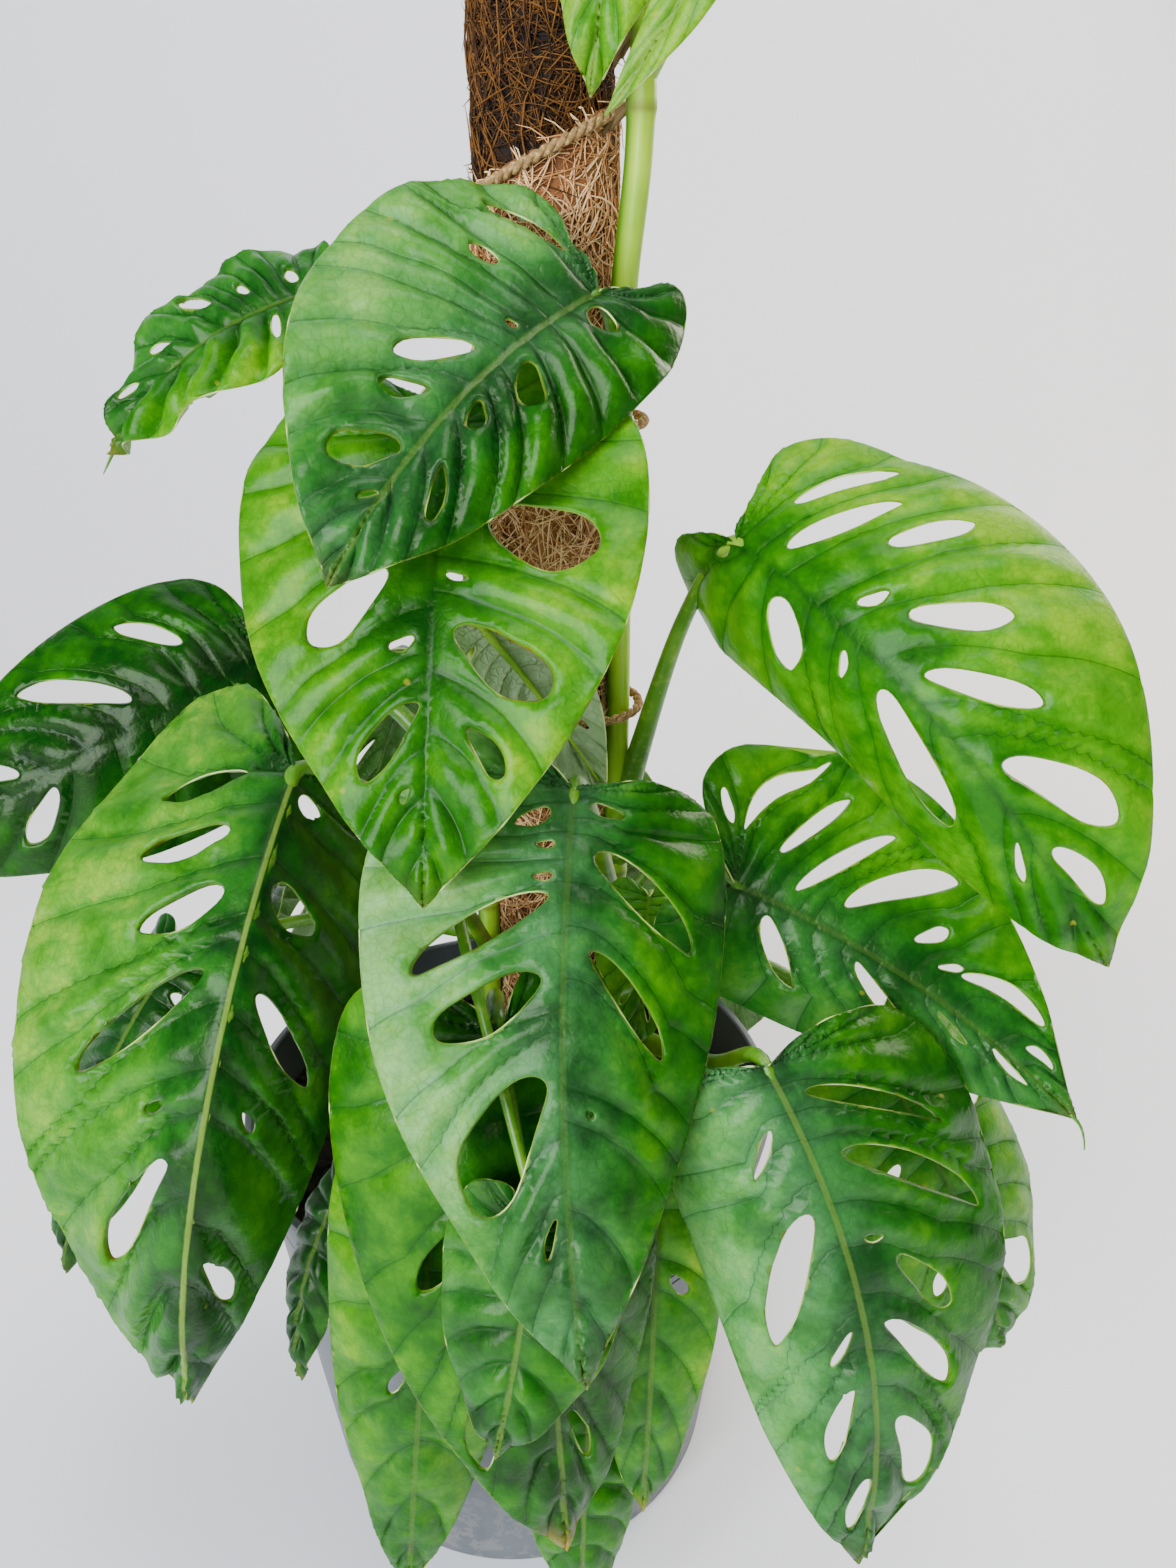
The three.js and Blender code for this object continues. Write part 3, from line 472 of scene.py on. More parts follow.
# The stake: plain pine, cut across at the top, with fine lengthwise grain.
stake_mesh = baked(turned([(0, pole_foot), (core_radius, pole_foot), (core_radius, core_top - 1),
                           (core_radius - 1, core_top), (0, core_top)], 48), "stake")
for vertex in stake_mesh.vertices:
    vertex.co.x += pole_x * MM
stake_mesh.set_sharp_from_angle(angle=sharp_from)
pine, tree, place = material("stake_pine")
along = add(tree, "Mapping", {"Vector": place, "Scale": (300, 300, 12)}).outputs[0]
grain = noise_at(along, 1, 4)
base = ramp(grain, (0.3, "#8a6a41"), (0.7, "#c2a171"))
surface(principled(base, 0.7, 1.5, bumped(grain, 0.3, 0.0003)))
new_piece("stake", stake_mesh, [pine], "core", "pole_core")

# The felted tube under the fibres gets a low tone, so it shows the gap colour: partly darker inner coir,
# partly painted shade between the fibres.
coir_dark = coir_material("coir_dark", "#0c0603", "#22150a", "#40270c", "#70481a")
fibre_piece("coir_wrap", coir_dark, "coir",
           pole_tube(core_radius + 0.3, coir_radius - 0.5, pole_top, 0, lump=0.9, seed=3, tone=-0.24),
           fibres(3100, mat_edge - 14, pole_top - 1, 0, coir_radius, seed=21, long=34, thick=0.22,
                  stray=0.08),
           replaced=["coir_inner"])
coir_light = coir_material("coir_light", "#4c2c14", "#8a5830", "#c48a52", "#f2ca94")
# This felted tube is also kept dark: partly darker coir, partly painted shade in the gaps between the
# fibres.
fibre_piece("coir_mat_felt", coir_light, "mat",
           pole_tube(coir_radius + 0.1, mat_radius - 0.3, mat_edge + 2, mat_slope, lump=0.6, seed=9,
                     tone=-0.2),
           fibres(4300, felt_from, mat_edge + 1, mat_slope, mat_radius - 0.1, seed=22, long=24,
                  thick=0.25, stray=0.03),
           replaced=["coir_mat"])
fibre_piece("coir_mat_strands", coir_light, "mat",
           fibres(4300, felt_from, mat_edge + 1, mat_slope, mat_radius + 0.2, seed=23, long=22,
                  thick=0.23, stray=0.03))

# Twine
# Two-ply jute: one turn binds the mat's top edge, and two ties hold the stems to the pole.

stem_radius = 3.5
stems = {
    "right": [[46, -14, 100], [40.5, -12, 150], [37.5, -10.5, 230], [37.5, -10.5, 330],
              [37.5, -10.5, 430], [41, -13.5, 468], [41.5, -14, 505]],
    "left": [[-12, -14, 100], [-6.5, -9, 150], [-4.5, -8.5, 230], [-4.5, -8.5, 330], [-3.5, -10.5, 415]],
    "back": [[24, 31, 100], [20, 24, 150], [17, 23, 230], [17, 23, 330], [16, 24, 440]],
}
twine_radius = 1.5
twine_gap = 0.3
ply_radius = 0.82
ply_apart = 0.68
ply_steps = 300
ply_turns = 26
hair_count = 130
hair_radius = 0.05


def stem_at(name, height):
    """Where a stem's centre is at a height, between the points of its centre line."""
    heights = [point[2] for point in stems[name]]
    return [np.interp(height, heights, [point[axis] for point in stems[name]]) for axis in (0, 1)]


def tie_distance(direction, height):
    """How far from the pole's axis a tie runs, out over the stems that reach above it."""
    away = mat_radius + twine_radius + twine_gap
    for name in stems:
        if stems[name][-1][2] > height:
            x, y = stem_at(name, height)
            apart = direction - math.atan2(y, x - pole_x)
            reach = math.hypot(x - pole_x, y) * math.cos(apart)
            away = max(away, reach + stem_radius + twine_radius + twine_gap)
    return away


def twine(name, distance, height, node, seed):
    """Two plies twisted round each other along a loop, with short hairs standing off."""
    centre = []
    for direction in np.arange(ply_steps) * FULL_TURN / ply_steps:
        x = distance(direction) * math.cos(direction)
        centre.append((pole_x + x, distance(direction) * math.sin(direction), height(x)))
    centre = np.array(centre)
    out = unit((centre - [pole_x, 0, 0]) * [1, 1, 0])
    twist = (np.arange(ply_steps) * FULL_TURN * ply_turns / ply_steps)[:, None]
    plies = [centre + ply_apart * (out * np.cos(twist + turn) + straight_up * np.sin(twist + turn))
             for turn in (0, math.pi)]
    draw = np.random.default_rng(seed)
    hairs = []
    for start in draw.integers(0, ply_steps, hair_count):
        aim = unit(draw.normal(0, 1, 3)) * 0.8 + unit(centre[(start + 3) % ply_steps] - centre[start])
        reach = np.linspace(0, draw.uniform(2.5, 5), 5)[:, None]
        hairs.append(centre[start] + aim * reach * 0.6 + out[start] * reach ** 2 * 0.04)
    fibre_piece(name, jute, "twine", (*tubes(plies, ply_radius, 8, closed=True), 0.4),
               (*tubes(hairs, hair_radius, 3), 0.8), replaced=[node])


# Jute: soft pale bast fibre, matt, with fine lengthwise strands.
jute, tree, place = material("jute")
strands = noise_at(place, 900, 4, 0.7)
tone = calc(attribute(tree, "tone"), "ADD", strands)
base = ramp(tone, (0.6, "#5f4728"), (0.95, "#9a7844"), (1.0, "#c4a570"))
surface(principled(base, 0.85, 1.5, bumped(strands, 0.7, 0.0003)))

twine("mat_twine", lambda direction: mat_radius + twine_radius, lambda x: mat_edge + mat_slope * x,
      "twine_mat_edge", 31)
for number, (node, level) in enumerate((("twine_middle", 318), ("twine_high", 402))):
    twine(f"stem_tie_{number + 1}", lambda direction: tie_distance(direction, level), lambda x: level,
          node, 32 + number)

# Leaves' places
# Every leaf grows from a joint of a stem. Its petiole leaves the stem at the joint's height and
# passes a point in space to the blade's base, from where the blade hangs to its tip.


def half(fold, curl, lobe=1, *holes):
    """Half a blade: its fold at the midrib, its curl to the margin, its lobe at the base, its holes.

    A hole is a long oval between two veins: its share of the outline, where it starts and ends on
    the way out from the midrib, its half width and how far it leans. The flattest half still curls
    by a degree."""
    holes = [hole + (0,) * (5 - len(hole)) for hole in holes]
    return dict(fold=fold, curl=curl or 1, lobe=lobe, holes=holes)


# arch is how far the midrib turns down in degrees, sweep how far it bows sideways, belly how far
# the widest part lies towards the tip, and share the left half's part of the width. tone runs from
# old dark green 0 to young yellow green 1, shift is painted light across the blade: how
# much lighter and yellower the right margin is than the middle, and the left margin darker, for the
# half that light falls on or shines through, bloom how much bluish-white painted sheen, a
# painted reflection of the window, the right half carries, quilt how far the blade bulges between
# its veins, wave how far its margin waves, pale how pale its midrib is, dry how yellow its tip is,
# tail the length of a thread at the tip, and torn the part of the left margin that is ragged.
plain_leaf = dict(sweep=0, belly=0, share=1, holes=0, tone=0.38, shift=0, bloom=0.1, quilt=1, wave=1,
                  pale=0.3, dry=0.1, tail=0, torn=None)


def leaf(name, stem, node, via, base, tip, looks, **form):
    """A leaf: its stem and joint, the petiole's point in space, the blade's base and tip, the way
    the upper face looks, and whatever sets it apart from a plain leaf."""
    places = dict(name=name, stem=stem, node=node, via=via, base=base, tip=tip, looks=looks)
    return plain_leaf | places | form


leaves = [
    leaf("leaf_top", "right", 385, [37, -36, 415], [31, -42, 438], [-28, -95, 383],
         [0.05, -0.9, 0.45], width=74, arch=35, sweep=0.05, belly=0.05, share=0.77, tone=0.45,
         shift=0.22, bloom=0.3, quilt=1.5, wave=1.3, pale=0.2,
         right=half(6, 10, 0.8, (0.33, 0.3, 0.7, 0.026, 0.05), (0.47, 0.3, 0.45, 0.014),
            (0.56, 0.05, 0.1, 0.006), (0.66, 0.1, 0.42, 0.02, 0.02), (0.73, 0.15, 0.43, 0.013),
            (0.81, 0.1, 0.73, 0.023, -0.01), (0.88, 0.08, 0.35, 0.004)),
         left=half(8, 50, 1.5, (0.4, 0.08, 0.32, 0.03), (0.6, 0.12, 0.45, 0.023),
            (0.7, 0.12, 0.32, 0.017), (0.77, 0.38, 0.78, 0.015))),
    leaf("leaf_upper_middle", "left", 372, [-8, -34, 400], [-6, -48, 410], [-10, -110, 310],
         [0, -0.88, 0.48], width=100, arch=30, belly=-0.03, tone=0.58, bloom=0, wave=1.2, pale=0,
         right=half(0, 20, 1, (0.64, 0.18, 0.64, 0.028, 0.02), (0.71, 0.08, 0.22, 0.008),
            (0.8, 0.06, 0.7, 0.022, 0.01), (0.87, 0.22, 0.4, 0.006)),
         left=half(15, 15, 1, (0.55, 0.2, 0.72, 0.038), (0.63, 0.05, 0.15, 0.005),
            (0.7, 0.12, 0.75, 0.028), (0.79, 0.35, 0.78, 0.014))),
    leaf("leaf_right_high", "right", 278, [56, -20, 350], [66, -45, 379], [155, -105, 290],
         [-0.3, -0.9, 0.27], width=101, arch=68, sweep=-0.07, belly=0.07, share=1.14, tone=0.6,
         shift=-0.1, bloom=0, pale=0,
         right=half(-28, 50, 1.5, (0.25, 0.06, 0.25, 0.05, -0.03), (0.49, 0.08, 0.45, 0.032, 0.01),
            (0.59, 0.08, 0.22, 0.006), (0.69, 0.08, 0.62, 0.042, 0.03), (0.84, 0.18, 0.54, 0.008)),
         left=half(-4, 47, 1, (0.36, 0.28, 0.75, 0.022, 0.02), (0.43, 0.08, 0.5, 0.02, 0.01),
            (0.5, 0.3, 0.64, 0.015), (0.56, 0.08, 0.18, 0.008), (0.61, 0.17, 0.49, 0.018, 0.01),
            (0.69, 0.08, 0.45, 0.018, 0.02), (0.79, 0.12, 0.76, 0.027, 0.01),
            (0.885, 0.1, 0.67, 0.025, 0.01))),
    leaf("leaf_right_middle", "right", 266, [60, -26, 288], [70, -55, 283], [164, -90, 228],
         [0.22, -0.9, 0.38], width=92, arch=4, sweep=-0.05, belly=-0.12, share=1.13, tone=0.46,
         shift=-0.05, bloom=0.2, pale=0.1, tail=8,
         right=half(-10, 60, 1, (0.51, 0.08, 0.46, 0.026, 0.06), (0.69, 0.08, 0.45, 0.02, 0.05),
            (0.8, 0.1, 0.3, 0.013, 0.02), (0.89, 0.08, 0.44, 0.016, 0.02)),
         left=half(-3, 10, 1.85, (0.22, 0.5, 0.8, 0.015), (0.33, 0.36, 0.9, 0.023, 0.06),
            (0.43, 0.22, 0.62, 0.023, 0.04), (0.52, 0.08, 0.57, 0.018, 0.05),
            (0.62, 0.12, 0.7, 0.023, 0.05), (0.7, 0.2, 0.42, 0.011, 0.01),
            (0.75, 0.18, 0.33, 0.007, 0.01), (0.81, 0.27, 0.9, 0.018, 0.04),
            (0.9, 0.38, 0.8, 0.012, 0.01))),
    leaf("leaf_right_low", "right", 196, [64, -66, 228], [74, -106, 260], [103, -146, 118],
         [0.2, -0.85, 0.5], width=109, arch=42, sweep=-0.06, share=1.08, tone=0.48, shift=0.16,
         bloom=0.45, quilt=1.2, wave=1.4, torn=(0.83, 0.95),
         right=half(-14, 75, 0.2, (0.47, 0.1, 0.25, 0.012, 0.03), (0.62, 0.08, 0.57, 0.031, 0.05),
            (0.72, 0.08, 0.26, 0.006, 0.01), (0.79, 0.15, 0.57, 0.02, 0.02),
            (0.9, 0.08, 0.7, 0.02, 0.01)),
         left=half(-7, 24, 0.4, (0.44, 0.08, 0.62, 0.017, 0.05), (0.54, 0.1, 0.75, 0.02, 0.04),
            (0.61, 0.08, 0.16, 0.005), (0.66, 0.2, 0.54, 0.018, 0.02),
            (0.73, 0.1, 0.66, 0.018, 0.02), (0.83, 0.2, 0.86, 0.028, 0.01))),
    leaf("leaf_front", "right", 240, [30, -42, 296], [25, -80, 326], [28, -152, 198],
         [-0.08, -0.88, 0.47], width=102, arch=36, sweep=0.02, belly=-0.06, share=0.97, tone=0.52,
         shift=0.26, bloom=0.5, quilt=1.3, pale=0.1,
         right=half(0, 10, 1, (0.38, 0.08, 0.22, 0.018, 0.01), (0.43, 0.05, 0.12, 0.006),
            (0.48, 0.05, 0.12, 0.006), (0.54, 0.06, 0.66, 0.02, 0.03),
            (0.62, 0.08, 0.6, 0.024, 0.01), (0.74, 0.08, 0.8, 0.04, 0.02),
            (0.85, 0.12, 0.35, 0.008, 0.01)),
         left=half(-25, 25, 0.3, (0.36, 0.08, 0.25, 0.016, 0.01), (0.5, 0.1, 0.68, 0.029, 0.05),
            (0.62, 0.1, 0.6, 0.019, 0.04), (0.74, 0.15, 0.2, 0.003))),
    leaf("leaf_left_big", "left", 252, [-30, -26, 292], [-53, -45, 314], [-87, -115, 143],
         [0, -0.93, 0.37], width=133, arch=90, belly=0.06, share=0.9, tone=0.44, shift=0.24,
         quilt=2, pale=0.8,
         right=half(-25, 0, 1.6, (0.35, 0.2, 0.54, 0.024, 0.02), (0.44, 0.15, 0.47, 0.02, 0.01),
            (0.52, 0.1, 0.38, 0.018, 0.01), (0.61, 0.1, 0.6, 0.017, 0.02),
            (0.69, 0.18, 0.28, 0.005), (0.76, 0.15, 0.68, 0.02, 0.02)),
         left=half(-55, 18, 0.6, (0.36, 0.06, 0.22, 0.02), (0.5, 0.06, 0.34, 0.02),
            (0.61, 0.12, 0.62, 0.016, 0.01), (0.69, 0.22, 0.34, 0.007), (0.82, 0.2, 0.7, 0.014))),
    leaf("leaf_left_high", "left", 285, [-42, 10, 316], [-75, 14, 323], [-192, -8, 263],
         [-0.1, -1, 0.1], width=92, arch=60, sweep=0.02, belly=-0.02, tone=0.2, shift=-0.06,
         bloom=0, pale=0,
         right=half(-16, 35, 0.35, (0.49, 0.3, 0.67, 0.021, 0.03), (0.63, 0.14, 0.74, 0.023, 0.04),
            (0.79, 0.15, 0.68, 0.02, 0.01)),
         left=half(0, 40, 1, (0.62, 0.15, 0.6, 0.018), (0.76, 0.1, 0.6, 0.02, 0.01))),
    leaf("leaf_left_top", "back", 418, [-20, 36, 428], [-50, 30, 432], [-114, 20, 387],
         [-0.3, -0.66, 0.7], width=54, arch=53, sweep=0.02, belly=0.04, tone=0.54, shift=-0.1,
         quilt=2, wave=2.4, pale=0.2, dry=0.5, tail=9,
         right=half(10, 34, 1, (0.39, 0.15, 0.34, 0.02), (0.53, 0.2, 0.36, 0.01),
            (0.61, 0.3, 0.75, 0.016), (0.73, 0.25, 0.65, 0.012), (0.83, 0.4, 0.8, 0.014)),
         left=half(8, 0, 1, (0.5, 0.15, 0.5, 0.012))),
    leaf("leaf_low_front", "left", 186, [0, -46, 236], [6, -98, 265], [22, -135, 105],
         [0.3, -0.8, 0.5], width=95, arch=30, belly=-0.02, share=0.86, tone=0.4, shift=0.04,
         bloom=0, dry=1,
         right=half(-8, 40, 1, (0.6, 0.2, 0.6, 0.018, 0.02), (0.77, 0.5, 0.9, 0.026, 0.01)),
         left=half(-8, 18, 1, (0.6, 0.15, 0.5, 0.016, 0.02), (0.83, 0.15, 0.6, 0.016, 0.01))),
    leaf("leaf_low_cupped", "left", 228, [-6, -76, 286], [15, -130, 230], [4, -145, 162],
         [-0.1, -0.86, 0.5], width=50, arch=26, sweep=-0.02, belly=-0.03, tone=0.5, quilt=0.9,
         right=half(-5, 27),
         left=half(3, 25)),
    leaf("leaf_low_narrow", "right", 164, [50, -54, 208], [49, -87, 222], [46, -105, 76],
         [0, -0.88, 0.48], width=46, arch=32, tone=0.7, quilt=0.8, dry=1,
         right=half(-8, 26),
         left=half(-10, 26, 1, (0.6, 0.15, 0.4, 0.012))),
    leaf("leaf_low_left", "left", 160, [-16, -48, 188], [-13, -105, 220], [-30, -115, 49],
         [0.05, -0.9, 0.45], width=68, arch=20, belly=-0.06, tone=0.6, bloom=0, quilt=1.2, pale=0.2,
         right=half(-14, 26, 0.7, (0.66, 0.12, 0.3, 0.012, 0.01)),
         left=half(-16, 26, 0.7)),
    leaf("leaf_right_behind", "right", 211, [84, -22, 232], [120, -48, 214], [173, -58, 94],
         [0.25, -0.85, 0.47], width=86, arch=50, belly=0.03, tone=0.62, pale=0.2,
         right=half(0, 40, 1, (0.55, 0.2, 0.6, 0.015, 0.01), (0.72, 0.2, 0.6, 0.015, 0.01)),
         left=half(4, 60, 1, (0.5, 0.2, 0.6, 0.02), (0.77, 0.2, 0.86, 0.04))),
    leaf("leaf_crown", "right", 497, [44, -15, 530], [42, -27, 550], [29, -34, 478],
         [-0.25, -0.9, 0.3], width=36, arch=25, tone=0.95, pale=0.4,
         right=half(10, 30, 1, (0.5, 0.2, 0.6, 0.016), (0.75, 0.2, 0.6, 0.014)),
         left=half(15, 40, 1, (0.55, 0.2, 0.7, 0.02))),
    leaf("leaf_unrolling", "right", 482, [56, -20, 508], [66, -38, 541], [32, -45, 474],
         [-0.3, -0.93, 0.2], width=18, arch=10, sweep=-0.08, tone=0.98, quilt=0.2, wave=0.3,
         pale=0.6, dry=0,
         right=half(5, 20, 0.6),
         left=half(12, 30, 0.6)),
]
hidden_leaves = [
    leaf("leaf_front_small", "right", 156, [20, -98, 178], [29, -100, 119], [27, -103, 21],
         [0.1, -0.9, 0.4], width=42, tone=0.58, bloom=0, quilt=1.2),
    leaf("leaf_left_small", "left", 150, [-36, -46, 192], [-46, -80, 191], [-61, -94, 125],
         [-0.6, -0.8, 0.2], width=26, tone=0.4, quilt=1.3),
    leaf("leaf_left_behind", "left", 236, [-58, -6, 240], [-112, -14, 226], [-152, -50, 122],
         [-0.5, -0.8, 0.4], width=62, holes=3),
    leaf("leaf_inner_pale", "left", 332, [-5, -25, 346], [-2, -30, 352], [34, -33, 300],
         [0, 0.9, -0.4], width=40, holes=2, tone=1.0),
    leaf("leaf_inner_right", "right", 225, [51, -25, 258], [47, -38, 268], [43, -54, 222],
         [0.2, -0.9, 0.4], width=32, holes=2, tone=0.8, quilt=0.8),
    leaf("leaf_back_top", "back", 372, [10, 44, 398], [0, 58, 402], [8, 104, 322],
         [0.05, 0.85, 0.45], width=78, holes=4),
    leaf("leaf_back_left_high", "back", 268, [-4, 44, 306], [-28, 56, 312], [-66, 104, 216],
         [-0.35, 0.8, 0.45], width=92, holes=4),
    leaf("leaf_back_middle", "back", 226, [14, 52, 256], [12, 80, 262], [2, 132, 128],
         [-0.05, 0.86, 0.5], width=110, holes=5, quilt=0.3, wave=-0.6),
    leaf("leaf_back_left_low", "back", 206, [-16, 46, 230], [-54, 70, 226], [-98, 106, 106],
         [-0.5, 0.75, 0.45], width=84, holes=4, quilt=0.3, wave=0),
    leaf("leaf_back_right_low", "back", 172, [42, 50, 208], [60, 76, 216], [98, 106, 98],
         [0.55, 0.7, 0.45], width=90, holes=4),
    leaf("leaf_side_left", "left", 276, [-40, 12, 258], [-82, 16, 238], [-136, 28, 144],
         [-0.75, 0.3, 0.6], width=52, holes=4),
]


def ruled_half(count, share):
    """A half with holes at the places that a row of shares gives."""
    holes = []
    for i in range(count):
        outline = 0.38 + 0.5 * (i + 0.2 + 0.6 * next(share)) / count
        start = 0.1 + 0.12 * next(share)
        end = start + 0.3 + 0.25 * next(share)
        holes.append((outline, start, end, 0.012 + 0.008 * next(share), 0.015))
    return half(-8, 38, 1, *holes)


def seeded_shares(value):
    """Whole numbers in a fixed order that looks random, as shares of one."""
    while True:
        value = value * 16807 % 2147483647
        yield value / 2147483647


for index, hidden in enumerate(hidden_leaves):
    shares = seeded_shares(index + 11)
    hidden.update(arch=42, sweep=0.02, belly=-0.02)
    for side in ("left", "right"):
        hidden[side] = ruled_half(hidden["holes"], shares)
leaves += hidden_leaves

# Stems
# Green climbing stems as thick as a pencil, smooth and a little glossy, with a lengthwise groove.
# At every joint there is a ringed scar, and short brown roots reach from there into the coir.

stem_steps = 330
stem_sides = 20
scar_below = 5
groove_at = -2.2
# Painted shade: the angle round the stem where a dark stripe stands for its shaded side.
shaded_side_at = -2.75
root_radii = [1.2, 1.2, 1.1, 1.1, 1, 0.9, 0.7, 0.4]


def curve_through(points, count):
    """Points evenly spaced along a centripetal Catmull-Rom curve through the given ones."""
    known = np.asarray(points, float)
    known = np.vstack([2 * known[0] - known[1], known, 2 * known[-1] - known[-2]])
    fine = []
    for i in range(1, len(known) - 2):
        p0, p1, p2, p3 = known[i - 1:i + 3]
        d0, d1, d2 = (max(np.linalg.norm(b - a), 1e-6) ** 0.5 for a, b in ((p0, p1), (p1, p2), (p2, p3)))
        leave = ((p1 - p0) / d0 - (p2 - p0) / (d0 + d1) + (p2 - p1) / d1) * d1
        arrive = ((p2 - p1) / d1 - (p3 - p1) / (d1 + d2) + (p3 - p2) / d2) * d1
        cubic = 2 * p1 - 2 * p2 + leave + arrive
        square = 3 * p2 - 3 * p1 - 2 * leave - arrive
        for t in np.linspace(0, 1, 40, endpoint=i == len(known) - 3):
            fine.append(cubic * t ** 3 + square * t ** 2 + leave * t + p1)
    fine = np.array(fine)
    run = np.concatenate([[0], np.cumsum(np.linalg.norm(np.diff(fine, axis=0), axis=1))])
    even = np.linspace(0, run[-1], count)
    return np.stack([np.interp(even, run, fine[:, axis]) for axis in range(3)], 1)


def bell(values, width):
    return np.exp(-(values / width) ** 2)


def turned_from(angles, start):
    """Angles from a start, wound into half a turn either way."""
    return np.angle(np.exp(1j * (angles - start)))


def stem_piece(name):
    """A stem with its joints' rings and its groove, and the roots that leave its joints."""
    joints = [leaf["node"] for leaf in leaves if leaf["stem"] == name]
    path = curve_through(stems[name], stem_steps)
    ring = np.zeros(stem_steps)
    scar = np.zeros(stem_steps)
    for joint in joints:
        ring += 0.35 * bell(path[:, 2] - joint + scar_below, 1.6) + 0.25 * bell(path[:, 2] - joint, 7)
        scar += bell(path[:, 2] - joint + scar_below, 1.2)
    taper = np.clip(1 - (np.linspace(0, 1, stem_steps) - 0.94) * 9, 0.45, 1)
    points, faces = tubes([path], (stem_radius * taper + ring * 0.9)[None], stem_sides)
    centre = np.repeat(path, stem_sides, 0)
    out = points - centre
    side = np.arctan2(out[:, 1], out[:, 0])
    points = centre + out * (1 - 0.13 * bell(turned_from(side, groove_at), 0.32))[:, None]
    draw = np.random.default_rng(len(name))
    drop = np.linspace(0, 1, len(root_radii))[:, None]
    roots = []
    for joint in np.repeat(joints, 3):
        x, y = stem_at(name, joint)
        turn = math.atan2(-y, pole_x - x) + draw.normal(0, 0.7)
        reach = draw.uniform(7, 17)
        way = np.array([math.cos(turn), math.sin(turn), 0])
        aside = np.array([-way[1], way[0], 0]) * draw.normal(0, 3)
        roots.append([x, y, joint - 4] + way * drop * reach * 0.8
                     + (aside - straight_up * reach * 0.7) * drop ** 2)
    roots = tubes(roots, np.array(root_radii)[None], 8)
    scar = np.repeat(np.clip(scar, 0, 1), stem_sides)
    points, faces, brown = joined((points, faces, scar), (*roots, 1.6))
    # Painted shade: a dark band down the stem's shaded left side.
    painted_shade = np.concatenate([bell(turned_from(side, shaded_side_at), 0.5), np.zeros(len(roots[0]))])
    mesh = mesh_of(f"stem_{name}", points, faces, {"brown": brown, "painted_shade": painted_shade})
    new_piece(f"stem_{name}_skin", mesh, [stem_green], "stem", f"stem_{name}")


# Stem skin: waxy pale yellow green with fine lengthwise streaks; scars and roots are dry brown.
stem_green, tree, place = material("stem_skin")
streak = noise_at(add(tree, "Mapping", {"Vector": place, "Scale": (700, 700, 25)}).outputs[0], 1, 3)
brown, painted_shade = attribute(tree, "brown"), attribute(tree, "painted_shade")
skin = ramp(noise_at(place, 35, 4), (0.3, "#7cac0c"), (0.5, "#98c414"), (0.7, "#b6d62c"))
skin = tinted(skin, ranged(streak, 0.45, 0.7, 0, 0.35), "#7a9a2c")
# Painted shade: the stem's shaded side painted dark green.
skin = tinted(skin, painted_shade, "#356a08")
dry = add(tree, "Math", {0: brown, 1: 0.6}, operation="MULTIPLY", use_clamp=True).outputs[0]
surface(principled(tinted(skin, dry, "#5a4024"), ranged(dry, 0, 1, 0.36, 0.8), 1.45,
                   bumped(streak, 0.35, 0.0003), {"Subsurface Weight": 0.25, "Subsurface Scale": 0.002}))
for name in stems:
    stem_piece(name)

# Leaves
# Thin leathery blades on long grooved petioles. Each grew its holes between the side veins; the
# veins are sunken above and raised below, the blade bulges between them, and its rim is pale.
# Outline shares run along a half's margin from the base to the tip, and out shares from the
# midrib to the margin.

outline_points = np.array([
    [0, 0], [0.07, -0.055], [0.2, -0.115], [0.36, -0.085], [0.47, 0.06], [0.5, 0.24],
    [0.46, 0.46], [0.35, 0.66], [0.21, 0.82], [0.085, 0.93], [0, 1],
])
column_shares = np.array([0, 0.09, 0.22, 0.4, 0.6, 0.78, 0.91])
row_shares = (0.03, 0.07, 0.12, 0.18, 0.25, 0.32, 0.39, 0.46,
              0.53, 0.6, 0.67, 0.74, 0.81, 0.87, 0.92, 0.96)
spine_steps = 70
veins_part = 0.28
veins_bend = 1.5
vein_apart = 0.006
veins_merge = 0.028
vein_every = 0.085
hole_gap = 0.012
margin_spacing = 6.0
widest_quilt = 12
shine_through = 0.38
blade_half = 0.3
rim_thinner = 0.1
rim_width = 0.6
groove_depth = 0.9
wave_height = 1.2
waves_per_side = 5
quilt_height = 0.27
pucker_height = 0.75
UPPER, UNDER, RIM, PETIOLE = range(4)


def outline_at(share):
    """The half outline at shares from 0 to 1, as an array of out and along."""
    share = np.clip(np.asarray(share, float), 0, 1) * (len(outline_points) - 1)
    i = np.minimum(share.astype(int), len(outline_points) - 2)
    t = (share - i)[..., None]
    p0, p1 = outline_points[np.maximum(i - 1, 0)], outline_points[i]
    p2, p3 = outline_points[i + 1], outline_points[np.minimum(i + 2, len(outline_points) - 1)]
    v0, v1 = (p2 - p0) / 2, (p3 - p1) / 2
    return (2 * p1 - 2 * p2 + v0 + v1) * t ** 3 + (3 * p2 - 3 * p1 - 2 * v0 - v1) * t ** 2 + v0 * t + p1


def toward_edge(out, start, end, shortest=0.0):
    """How far along a stretch of the way out each point is, from -1 to 1."""
    return np.clip((2 * out - start - end) / np.maximum(end - start, shortest), -1, 1)


